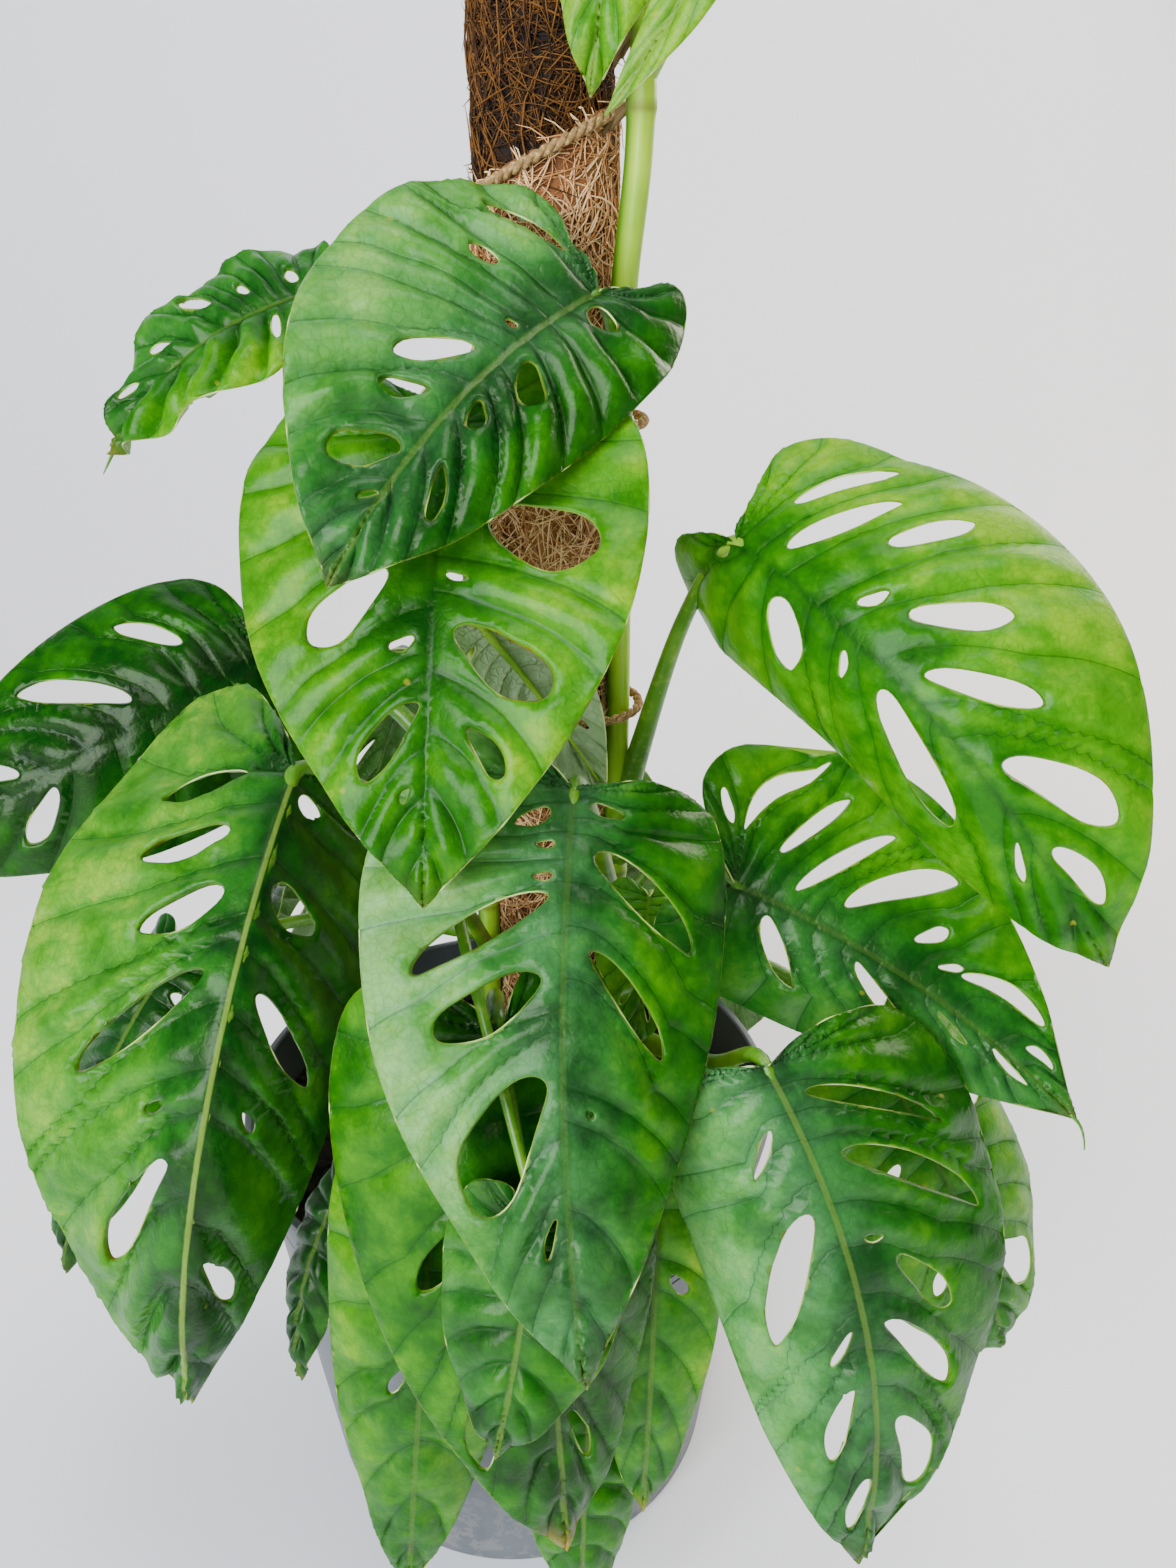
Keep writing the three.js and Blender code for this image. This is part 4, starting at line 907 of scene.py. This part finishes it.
class Blade:
    """One leaf's frame and the ways from shares of its outline to flat and to bent points."""

    def __init__(self, leaf):
        self.leaf = leaf
        self.base = np.array(leaf["base"], float)
        chord = np.array(leaf["tip"], float) - self.base
        self.along = unit(chord)
        looks = np.array(leaf["looks"], float)
        self.up = unit(looks - self.along * looks.dot(self.along))
        self.right = np.cross(self.along, self.up)
        self.arch = math.radians(leaf["arch"])
        self.radius = np.linalg.norm(chord) / (2 * math.sin(self.arch / 2))
        self.length = self.radius * self.arch

    def flat(self, side, outline, out):
        """Flat x and y for shares of the outline and of the way out to the margin."""
        leaf = self.leaf
        outline, out = np.broadcast_arrays(np.asarray(outline, float), np.asarray(out, float))
        edge_x, edge_y = np.moveaxis(outline_at(outline), -1, 0)
        lobe = edge_y * leaf["left" if side < 0 else "right"]["lobe"]
        bellied = edge_y + leaf["belly"] * 4 * edge_y * (1 - edge_y)
        edge_y = np.where(edge_y < 0, lobe, bellied) * self.length
        edge_x = edge_x * (leaf["width"] * (leaf["share"] if side < 0 else 2 - leaf["share"]))
        start = self.length * np.clip((outline - veins_part) / (1 - veins_part), 0, 1) ** veins_bend
        near, middle, far = (1 - out) ** 2, 2 * (1 - out) * out, out ** 2
        x = middle * 0.7 * edge_x + far * edge_x
        y = near * start + middle * (start + 0.3 * (edge_y - start)) + far * edge_y
        return np.stack([side * x, y], -1)

    def bent(self, x, y, lift):
        """Points in space for flat ones, lifted off the blade by lift."""
        share = y / self.length
        start = self.arch / 2
        turn = start - np.maximum(share, 0) * self.arch
        before = np.minimum(share, 0) * self.length
        forward = self.radius * (math.sin(start) - np.sin(turn)) + before * math.cos(start)
        rise = self.radius * (np.cos(turn) - math.cos(start)) + before * math.sin(start)
        fold, curl = (np.radians(np.where(x < 0, self.leaf["left"][key], self.leaf["right"][key]))
                      for key in ("fold", "curl"))
        curl = curl / (self.leaf["width"] / 2)
        slope = fold - curl * np.abs(x)
        across = (np.sin(fold) - np.sin(slope)) / curl
        raised = (np.cos(slope) - np.cos(fold)) / curl + lift
        bow = self.leaf["sweep"] * self.length * 4 * np.clip(share, 0, 1) * (1 - np.minimum(share, 1))
        return (self.base + self.along * (forward - np.sin(turn) * raised)[..., None]
                + self.up * (rise + np.cos(turn) * raised)[..., None]
                + self.right * (np.sign(x) * across + bow)[..., None])

    def below(self, share, depth):
        """A point under the midrib at a share of its length."""
        return self.bent(np.array([0.0]), np.array([share * self.length]), np.array([-depth]))[0]

    def shares(self, side, flat, outline, out):
        """The outline and out shares of flat points, found by Newton steps from near ones."""
        tiny = 1e-4
        for _ in range(6):
            here = self.flat(side, outline, out)
            by_outline = (self.flat(side, outline + tiny, out) - here) / tiny
            by_out = (self.flat(side, outline, out + tiny) - here) / tiny
            miss = flat - here
            size = by_outline[:, 0] * by_out[:, 1] - by_outline[:, 1] * by_out[:, 0]
            size = np.where(np.abs(size) < 1e-3, 1e-3, size)
            more_outline = (miss[:, 0] * by_out[:, 1] - miss[:, 1] * by_out[:, 0]) / size
            more_out = (by_outline[:, 0] * miss[:, 1] - by_outline[:, 1] * miss[:, 0]) / size
            outline = np.clip(outline + np.clip(more_outline, -0.03, 0.03), 0, 1)
            out = np.clip(out + np.clip(more_out, -0.06, 0.06), 0, 1)
        return outline, out


class Veins:
    """The side veins of one half, kept clear of its holes, as lines of outline share against out."""

    def __init__(self, half):
        holes = sorted(half["holes"])
        lines = []
        for outline, start, end, wide, lean in holes:
            before = [outline - wide - hole_gap, lean, start, end]
            if lines and before[0] - lines[-1][0] < veins_merge:
                lines[-1] = [(a + b) / 2 for a, b in zip(lines[-1], before)]
            else:
                lines.append(before)
            lines.append([outline + wide + hole_gap, lean, start, end])
        known = [[0, 0, 0, 1]] + [line for line in lines if 0.02 < line[0] < 0.985] + [[1, 0, 0, 1]]
        self.lines = [known[0]]
        for before, after in zip(known, known[1:]):
            within = any(before[0] < hole[0] < after[0] for hole in holes)
            extra = 0 if within else int((after[0] - before[0]) / vein_every)
            for part in np.arange(1, extra + 1) / (extra + 1):
                self.lines.append([a + (b - a) * part for a, b in zip(before, after)])
            self.lines.append(after)

    def at(self, out):
        """Every line's outline share at each value of out, as out by line, always rising."""
        share, lean, start, end = np.array(self.lines, float).T
        line = np.clip(share + lean * toward_edge(np.asarray(out)[:, None], start, end, 0.05), 0, 1)
        line[:, 0], line[:, -1] = 0, 1
        last = line.shape[1] - 1
        for k in range(1, last):
            line[:, k] = np.maximum(line[:, k], line[:, k - 1] + vein_apart)
        for k in range(last - 1, 0, -1):
            line[:, k] = np.minimum(line[:, k], line[:, k + 1] - vein_apart)
        return line

    def coordinate(self, outline, out):
        """How many veins lie before each point, with its share of the way to the next, and the
        outline shares of the veins beside it."""
        line = self.at(out)
        ahead = np.clip((line <= outline[:, None]).sum(1) - 1, 0, line.shape[1] - 2)
        row = np.arange(len(line))
        low, high = line[row, ahead], line[row, ahead + 1]
        return ahead + np.clip((outline - low) / (high - low), 0, 1), low, high


def within_ring(points, ring):
    """Which flat points lie inside a closed ring of flat points."""
    inside = np.zeros(len(points), bool)
    for a, b in zip(ring, np.roll(ring, -1, 0)):
        crosses = (a[1] > points[:, 1]) != (b[1] > points[:, 1])
        with np.errstate(divide="ignore", invalid="ignore"):
            at_x = a[0] + (points[:, 1] - a[1]) / (b[1] - a[1]) * (b[0] - a[0])
        inside ^= crosses & (points[:, 0] < at_x)
    return inside


def hole_rim(blade, side, hole):
    """A hole's egg-shaped rim as outline and out shares, flat points and ways out of the hole."""
    outline, start, end, wide, lean = hole
    count = max(14, int(44 * (end - start) * (blade.leaf["width"] / 100) + 10))
    angle = np.arange(count) * FULL_TURN / count
    out = (start + end) / 2 + (end - start) / 2 * np.cos(angle)
    egg = 1 + 0.26 * np.cos(angle + 7 * outline) + 0.1 * np.cos(3 * angle + 11 * start)
    share = outline + lean * toward_edge(out, start, end) + wide * egg * np.sin(angle)
    rim = blade.flat(side, share, out)
    ahead = np.roll(rim, -1, 0) - np.roll(rim, 1, 0)
    normal = unit(np.stack([ahead[:, 1], -ahead[:, 0]], 1))
    normal *= np.sign(np.sum(normal * (rim - rim.mean(0)), 1).sum())
    return share, out, rim, normal * rim_width


class Sheet:
    """A blade's flat points, each with its half, its shares and whether it is on a rim."""

    def __init__(self, blade):
        self.blade = blade
        self.points, self.sides, self.outline, self.out, self.edge = [], [], [], [], []
        self.rings = []
        self.veins = {}
        margins = {side: self.half_points(side) for side in (-1, 1)}
        middle = blade.length * np.array([0, *np.linspace(0.008, 0.992, spine_steps), 1])
        spine = self.append(np.stack([0 * middle, middle], 1), 0, 0 * middle, 0 * middle, 0)
        self.edge[spine[0]] = self.edge[spine[-1]] = 1
        contour = [spine[0]] + margins[1] + [spine[-1]] + margins[-1][::-1]
        triangles = self.filled(contour, spine)
        used, numbers = np.unique(triangles, return_inverse=True)
        self.triangles = numbers.reshape(-1, 3)
        self.points, self.sides, self.outline, self.out, self.edge = (
            np.array(each)[used] for each in (self.points, self.sides, self.outline, self.out, self.edge))

    def append(self, points, side, outline, out, edge):
        """Adds points of one half and gives their numbers."""
        start = len(self.points)
        self.points.extend(points.tolist())
        self.sides.extend([side] * len(points))
        self.outline.extend(outline)
        self.out.extend(out)
        self.edge.extend([float(edge)] * len(points))
        return list(range(start, len(self.points)))

    def half_points(self, side):
        """Adds the points of one half and gives the numbers of those on its margin."""
        blade, leaf = self.blade, self.blade.leaf
        half = leaf["left" if side < 0 else "right"]
        veins = self.veins[side] = Veins(half)
        last_row = 1 - rim_width / (leaf["width"] * 0.55)
        rows = np.array([row for row in row_shares if row < last_row - 0.015] + [last_row])
        grid = np.array([(share, row) for row, line in zip(rows, veins.at(rows))
                         for low, high in zip(line, line[1:])
                         for share in low + (high - low) * column_shares if 0.004 < share < 0.996])
        points = blade.flat(side, grid[:, 0], grid[:, 1])
        rims = [hole_rim(blade, side, hole) for hole in half["holes"]]
        keep = np.ones(len(points), bool)
        for _, _, rim, away in rims:
            keep &= ~within_ring(points, rim + away * 1.7)
        self.append(points[keep], side, grid[keep, 0], grid[keep, 1], 0)
        for outline, out, rim, away in rims:
            self.rings.append(self.append(rim, side, outline, out, 1))
            outside = rim + away
            self.append(outside, side, *blade.shares(side, outside, outline, out), 0)
        line = veins.at([1.0])[0]
        shares = np.concatenate([low + (high - low) * column_shares for low, high in zip(line, line[1:])])
        shares = shares[(shares > 0.003) & (shares < 0.997)]
        out = np.ones(len(shares))
        if leaf["torn"] and side < 0:
            ragged = [noise.noise(Vector((share * 260, 0, 0))) for share in shares]
            torn = (shares > leaf["torn"][0]) & (shares < leaf["torn"][1])
            out -= np.where(torn, 0.1 + 0.16 * np.abs(ragged), 0)
        return self.append(blade.flat(side, shares, out), side, shares, out, 1)

    def filled(self, contour, spine):
        """Triangles between the contour and the holes, none across the notch at the base."""
        edges = [pair for ring in self.rings + [contour] for pair in zip(ring, ring[1:] + ring[:1])]
        edges += list(zip(spine, spine[1:]))
        points = [Vector(point) for point in self.points]
        found = geometry.delaunay_2d_cdt(points, edges, [], 1, 1e-5, True)
        origin = [ids[0] if ids else None for ids in found[3]]
        hole_of = {index: number for number, ring in enumerate(self.rings) for index in ring}
        triangles = []
        for face in found[2]:
            corners = [origin[index] for index in face]
            if None in corners or len(set(corners)) < 3:
                continue
            in_hole = len({hole_of.get(corner) for corner in corners}) == 1 and corners[0] in hole_of
            if in_hole or {self.sides[corner] for corner in corners} >= {-1, 1}:
                continue
            a, b, c = (np.array(self.points[corner]) for corner in corners)
            area = (b[0] - a[0]) * (c[1] - a[1]) - (b[1] - a[1]) * (c[0] - a[0])
            if abs(area) > 1e-6:
                triangles.append(corners if area > 0 else corners[::-1])
        return np.array(triangles)

    def relief(self):
        """How far every point is lifted, how many veins lie before it and how far apart they are."""
        blade, leaf = self.blade, self.blade.leaf
        lift = np.zeros(len(self.points))
        count = np.zeros(len(self.points))
        spacing = np.full(len(self.points), margin_spacing)
        for side in (-1, 1):
            mine = self.sides == side
            out, outline, inside = self.out[mine], self.outline[mine], 1 - self.edge[mine]
            counted, low, high = self.veins[side].coordinate(outline, out)
            gap = np.linalg.norm(blade.flat(side, high, out) - blade.flat(side, low, out), axis=1)
            number = np.floor(counted)
            bulge = np.sin(math.pi * (counted - number)) - 0.4
            bulge *= [0.75 + 0.9 * noise.noise(Vector((n * 1.7, u * 2.2, side * 5 + blade.length)))
                      for n, u in zip(number, out)]
            envelope = np.clip(out / 0.2, 0, 1) * (1 - 0.7 * np.clip((out - 0.7) / 0.3, 0, 1))
            phase = 1 if side < 0 else 0
            wave = np.sin(FULL_TURN * waves_per_side * outline + phase)
            quilt = leaf["quilt"] * quilt_height * np.minimum(gap, widest_quilt) * bulge * envelope
            lift[mine] = quilt * inside + leaf["wave"] * wave_height * out ** 3 * wave
            count[mine] = counted
            spacing[mine] = gap
        x, y = self.points.T
        pucker = [noise.noise(Vector((px / 9, py / 6, blade.length))) for px, py in self.points]
        lift += (leaf["quilt"] * pucker_height * np.array(pucker)
                 * np.clip(self.out / 0.2, 0, 1) * (1 - self.edge))
        shallower = 0.7 * np.clip(y / blade.length, 0, 1)
        lift -= groove_depth * (1 - shallower) * bell(x, 1.6 * (1.1 - shallower))
        return lift, count, spacing

    def face_veins(self, count):
        """Each corner's vein count in the half of its triangle, also on the midrib that both share."""
        points, triangles = self.points, self.triangles
        side_of = np.where(points[triangles][:, :, 0].mean(1) < 0, -1, 1)
        on_spine = self.sides[triangles] == 0
        veins = count[triangles]
        reached = np.clip(points[:, 1] / self.blade.length, 0, 1) ** (1 / veins_bend)
        shares = veins_part + (1 - veins_part) * reached
        for side in (-1, 1):
            counted, _, _ = self.veins[side].coordinate(shares, 0 * shares)
            veins = np.where(on_spine & (side_of == side)[:, None], counted[triangles], veins)
        off_spine = (~on_spine).sum(1)
        others = np.where(on_spine, 0, veins).sum(1) / np.maximum(off_spine, 1)
        at_base = on_spine & (points[triangles][:, :, 1] < 0.02 * self.blade.length)
        return np.where(at_base & (off_spine > 0)[:, None], others[:, None], veins)


def thickened(middle, triangles, half_thick):
    """A closed sheet's points and faces with their materials, round a surface in the middle."""
    corner = middle[triangles]
    face_normal = np.cross(corner[:, 1] - corner[:, 0], corner[:, 2] - corner[:, 0])
    normal = np.zeros_like(middle)
    for i in range(3):
        np.add.at(normal, triangles[:, i], face_normal)
    normal /= np.maximum(np.linalg.norm(normal, axis=1, keepdims=True), 1e-9)
    points = np.vstack([middle + normal * half_thick, middle - normal * half_thick])
    count = len(middle)
    open_edges = set()
    for a, b, c in triangles:
        for pair in ((a, b), (b, c), (c, a)):
            if pair[::-1] in open_edges:
                open_edges.discard(pair[::-1])
            else:
                open_edges.add(pair)
    faces = [tuple(face) for face in triangles] + [tuple(face[::-1] + count) for face in triangles]
    faces += [(b, a, a + count, b + count) for a, b in sorted(open_edges)]
    kinds = [UPPER] * len(triangles) + [UNDER] * len(triangles) + [RIM] * len(open_edges)
    return points, faces, kinds


def petiole_parts(blade):
    """Tubes for the petiole, the rib under the blade and the thread at its tip."""
    leaf, below = blade.leaf, blade.below
    neck = 0.8 + blade.length * 0.008
    foot = 1.6 + blade.length * 0.018
    joint = [*stem_at(leaf["stem"], leaf["node"]), leaf["node"]]
    route = curve_through([joint, leaf["via"], below(-0.01, neck * 0.9),
                           below(0.05, neck + groove_depth + 0.2)], 40)
    run = np.linspace(0, 1, len(route))
    thick = (neck + (foot - neck) * (1 - run) ** 2) * (1 - 0.4 * bell(1 - run, 0.06))
    parts = [tubes([route], thick[None], 14)]
    reached = np.linspace(0.03, 0.93, 40)
    rib_radius = neck * (0.95 - 0.78 * reached)
    depth = rib_radius + 0.2 + groove_depth * (1 - 0.7 * reached)
    parts.append(tubes([[below(*place) for place in zip(reached, depth)]], rib_radius[None], 10))
    if leaf["tail"]:
        end = below(1, 0)
        aside = blade.right * 0.5 - blade.up * 0.3
        steps = np.linspace(-0.25, 1, 12)
        thread = [end + leaf["tail"] * (unit(end - below(0.96, 0)) * step + aside * max(step, 0) ** 2)
                  for step in steps]
        parts.append(tubes([thread], (0.55 - 0.35 * steps)[None], 8))
    return parts


def leaf_piece(leaf):
    """A leaf's blade as a closed sheet with its petiole, rib and thread, as one mesh."""
    blade = Blade(leaf)
    sheet = Sheet(blade)
    lift, count, spacing = sheet.relief()
    x, y = sheet.points.T
    half_thick = (blade_half - rim_thinner * sheet.edge)[:, None]
    points, faces, kinds = thickened(blade.bent(x, y, lift), sheet.triangles, half_thick)
    for part_points, part_faces in petiole_parts(blade):
        faces += [tuple(index + len(points) for index in face) for face in part_faces]
        kinds += [PETIOLE] * len(part_faces)
        points = np.vstack([points, part_points])
    extra = np.zeros(len(points) - 2 * len(x))
    across = np.clip(x / (leaf["width"] / 2), -1, 1)
    near_tip = np.clip((y / blade.length - 0.9) / 0.1, 0, 1) ** 2
    looks = {
        "spacing": spacing, "edge": sheet.edge, "off_midrib": np.abs(x),
        # Painted light: the tone rises towards one margin and falls towards the other, lighter and
        # yellower on the half that light falls on or shines through.
        "tone": leaf["tone"] + leaf["shift"] * across,
        # Painted sheen: a bluish-white painted reflection of the window, strongest on the right half.
        "bloom": leaf["bloom"] * np.clip(0.35 + 0.8 * across, 0, 1),
        "pale_midrib": np.full(len(x), leaf["pale"]), "dry": near_tip * leaf["dry"],
    }
    of_petiole = {"tone": leaf["tone"], "pale_midrib": leaf["pale"]}
    attributes = {key: np.concatenate([values, values, extra + of_petiole.get(key, 0)])
                  for key, values in looks.items()}
    mesh = mesh_of(leaf["name"], points, faces, attributes)
    mesh.polygons.foreach_set("material_index", kinds)
    layer = mesh.uv_layers.new(name="veins")
    pairs = np.zeros((len(mesh.loops), 2), np.float32)
    top = len(sheet.triangles) * 3
    for axis, values in enumerate((sheet.face_veins(count), sheet.out[sheet.triangles])):
        pairs[:top, axis] = values.ravel()
        pairs[top:2 * top, axis] = values[:, ::-1].ravel()
    layer.data.foreach_set("uv", pairs.ravel())
    mesh.validate()
    new_piece(leaf["name"] + "_grown", mesh, leaf_materials, "leaf", leaf["name"])


def eased(socket, low, high, to_low=0.0, to_high=1.0):
    """A smooth change from one value to another while a socket runs from low to high."""
    return ranged(socket, low, high, to_low, to_high, "SMOOTHSTEP")


def cell_edges(place, scale):
    """How far a point is from the edge of its cell."""
    return add(place.id_data, "TexVoronoi", {"Vector": place, "Scale": scale},
               feature="DISTANCE_TO_EDGE").outputs["Distance"]


def blade_skin(name):
    """A blade's material, its tree and a point's place, way from a side vein, fine net and tone."""
    made, tree, place = material(name)
    veins = add(tree, "SeparateXYZ", {0: add(tree, "UVMap", uv_map="veins").outputs[0]}).outputs["X"]
    beside = calc(calc(veins, "ADD", 0.5), "FRACT")
    beside = calc(calc(beside, "SUBTRACT", 0.5), "ABSOLUTE")
    beside = calc(beside, "MULTIPLY", attribute(tree, "spacing"))
    return made, tree, place, beside, cell_edges(place, 420), attribute(tree, "tone")


def see_through(shader, glow):
    """A blade's surface from its shader and the light that comes through it from behind."""
    through = add(shader.id_data, "BsdfTranslucent", glow)
    inputs = {0: shine_through, 1: shader.outputs[0], 2: through.outputs[0]}
    surface(add(shader.id_data, "MixShader", inputs))


# Upper skin: waxed and quite glossy. Old leaves are dark bluish green and young ones yellow green,
# mottled between the veins, paler away from the midrib, with a thin yellow-green rim.
upper_skin, tree, place, beside, net, tone = blade_skin("leaf_upper")
from_midrib, edge, painted_sheen_share, pale, dry = (
    attribute(tree, name) for name in ("off_midrib", "edge", "bloom", "pale_midrib", "dry"))
cloud = noise_at(place, 55, 5, 0.6)
mottle = noise_at(place, 190, 3, 0.6)
level = calc(calc(cloud, "SUBTRACT", 0.5), "MULTIPLY", 0.85)
for lighter in (calc(calc(mottle, "SUBTRACT", 0.5), "MULTIPLY", 0.4), tone,
                calc(eased(beside, 0.3, 3.6), "MULTIPLY", calc(cloud, "MULTIPLY", 0.2)),
                calc(eased(from_midrib, 1.0, 26.0), "MULTIPLY", 0.27)):
    level = calc(level, "ADD", lighter)
level = calc(level, "SUBTRACT", 0.18)
line = eased(beside, 0.1, 0.4, 1.0, 0.0)
branches = cell_edges(place, 150)
rim = eased(edge, 0.4, 0.95)
flecks = add(tree, "TexVoronoi", {"Vector": place, "Scale": 48}).outputs["Distance"]
base = ramp(level, (0.0, "#021c08"), (0.3, "#073a05"), (0.55, "#1f6a02"), (0.8, "#4c9600"),
            (1.0, "#8cba04"))
for share, colour in (
        (eased(tone, 1.0, 1.25), "#c6da86"),
        # Painted sheen: the bluish-white painted reflection laid over the blade.
        (calc(painted_sheen_share, "MULTIPLY", eased(cloud, 0.36, 0.6, 0.3, 1.0)), "#84c294"),
        # Darker green along the sunken side veins: partly their own colour, partly painted shade in the
        # creases.
        (calc(line, "MULTIPLY", 0.45), "#0f4a06"),
        (eased(net, 0.0, 0.12, 0.22, 0.0), "#0d4a08"),
        (eased(branches, 0.0, 0.05, 0.16, 0.0), "#0a4204"),
        # Painted shade: darker green in the sunken groove along the midrib.
        (calc(eased(from_midrib, 0.4, 2.2, 1.0, 0.0), "MULTIPLY", 0.4), "#0c4010"),
        (calc(eased(from_midrib, 0.5, 1.1, 1.0, 0.0), "MULTIPLY", pale), "#8fb244"),
        (calc(rim, "MULTIPLY", 0.6), "#a8c440"),
        (eased(flecks, 0.02, 0.05, 0.55, 0.0), "#b8b428"),
        (calc(dry, "MULTIPLY", calc(cloud, "MULTIPLY", 1.6)), "#d0a212"),
        (calc(eased(noise_at(place, 38, 2), 0.64, 0.7), "MULTIPLY", rim), "#8a5a16")):
    base = tinted(base, share, colour)
normal = bumped(noise_at(place, 260, 3), 0.12, 0.001)
normal = bumped(eased(net, 0.0, 0.2), 0.12, 0.0005, normal)
normal = bumped(eased(branches, 0.0, 0.16), 0.1, 0.0008, normal)
normal = bumped(eased(beside, 0.0, 0.8), 0.28, 0.0008, normal)
rough = calc(ranged(cloud, 0, 1, 0.26, 0.42), "ADD", eased(tone, 0.5, 0.7, 0.0, 0.16))
glow = ramp(level, (0.0, "#146c00"), (0.5, "#4cb000"), (1.0, "#a8d600"))
glow = tinted(glow, calc(line, "MULTIPLY", 0.6), "#1c5c00")
see_through(principled(base, rough, 1.42, normal, {
    "Coat Weight": 0.3, "Coat Roughness": 0.2, "Coat IOR": 1.42, "Specular IOR Level": 0.35,
    "Specular Tint": linear("#ccec98")}), {"Color": glow, "Normal": normal})

# Under skin: matt and paler, greyish green, with raised pale veins.
under_skin, tree, place, beside, net, tone = blade_skin("leaf_under")
level = calc(calc(tone, "MULTIPLY", 0.6), "ADD", noise_at(place, 60, 4))
base = ramp(level, (0.4, "#5f8a55"), (0.8, "#8bae6c"), (1.0, "#b4cca0"))
base = tinted(base, eased(beside, 0.2, 0.7, 0.6, 0.0), "#b4c98c")
base = tinted(base, eased(net, 0.0, 0.12, 0.25, 0.0), "#a9c083")
normal = bumped(eased(net, 0.0, 0.2, 1.0, 0.0), 0.5, 0.0006)
normal = bumped(eased(beside, 0.0, 0.8, 1.0, 0.0), 0.6, 0.0008, normal)
glow = ramp(level, (0.4, "#4f9a20"), (1.0, "#b8dc30"))
see_through(principled(base, 0.5, 1.42, normal), {"Color": glow})

# Rim: the thickened, almost clear edge of the blade, pale yellow green.
rim_skin, tree, place = material("leaf_rim")
base = ramp(noise_at(place, 90, 3), (0.35, "#a5bd55"), (0.65, "#cfdc8c"))
surface(add(tree, "BsdfPrincipled", {"Base Color": base, "Roughness": 0.4, "IOR": 1.45}))

# Petiole: firm, smooth and waxy, mid green with fine lengthwise streaks.
petiole_skin, tree, place = material("petiole_skin")
streak = noise_at(place, 500, 3)
level = calc(calc(attribute(tree, "tone"), "MULTIPLY", 0.5), "ADD", noise_at(place, 40, 3))
base = ramp(level, (0.45, "#1f5206"), (0.75, "#4a800c"), (1.0, "#86b020"))
base = tinted(base, eased(streak, 0.5, 0.75, 0.0, 0.25), "#a8c448")
surface(principled(base, 0.36, 1.46, bumped(streak, 0.2, 0.0003)))

leaf_materials = [upper_skin, under_skin, rim_skin, petiole_skin]
for each_leaf in leaves:
    leaf_piece(each_leaf)

# Stage
# A pale floor that curves up into a pale wall, a large soft window light from the upper left, a
# weaker one from behind on the right that shines through the blades, a lamp on the wall, and the
# photograph's camera. Lengths are in metres here.

half_width = 3.0
wall_away = 1.3
wall_top = 3.0
sweep_radius = 0.5
sweep_steps = 12
camera_down = 27

profile = [(-3.0, 0.0), (wall_away - sweep_radius, 0.0)]
for step in range(1, sweep_steps + 1):
    turn = math.pi / 2 * step / sweep_steps
    profile.append((wall_away - sweep_radius + sweep_radius * math.sin(turn),
                    sweep_radius * (1 - math.cos(turn))))
profile.append((wall_away, wall_top))
stage_mesh = bpy.data.meshes.new("backdrop")
stage_mesh.from_pydata([(side * half_width, y, z) for y, z in profile for side in (-1, 1)], [],
                       [(2 * i, 2 * i + 1, 2 * i + 3, 2 * i + 2) for i in range(len(profile) - 1)])
stage_mesh.polygons.foreach_set("use_smooth", [True] * len(stage_mesh.polygons))
paint, tree, _ = material("backdrop_paint")
surface(add(tree, "BsdfPrincipled", {"Base Color": linear("#efeeee"), "Roughness": 0.7}))
stage_mesh.materials.append(paint)
placed("backdrop", stage_mesh)


def area_light(name, place, aim, size, power, colour):
    light = bpy.data.lights.new(name, "AREA")
    light.size = size
    light.energy = power
    light.color = linear(colour)[:3]
    made = placed(name, light)
    made.location = place
    made.rotation_euler = (Vector(aim) - Vector(place)).to_track_quat("-Z", "Y").to_euler()


area_light("window_light", (-0.9, -1.6, 1.0), (0, 0, 0.35), 1.3, 92, "#eef4ff")
area_light("back_light", (1.0, 0.8, 0.9), (0.05, 0, 0.3), 0.8, 18, "#fff4e0")
area_light("wall_light", (0.4, -0.2, 2.2), (0.35, 1.1, 0.1), 1.2, 32, "#f6f8ff")
world = bpy.data.worlds.new("room")
world.use_nodes = True
room_light = world.node_tree.nodes["Background"].inputs
room_light["Color"].default_value = linear("#eef1f6")
room_light["Strength"].default_value = 0.22
bpy.context.scene.world = world

camera = placed("camera", bpy.data.cameras.new("camera"))
camera.data.lens = 28.0
camera.data.sensor_width = 36
camera.data.dof.use_dof = False
camera.location = (0.0285, -0.35, 0.465)
camera.rotation_euler = (math.radians(90 - camera_down), 0, 0)
bpy.context.scene.camera = camera
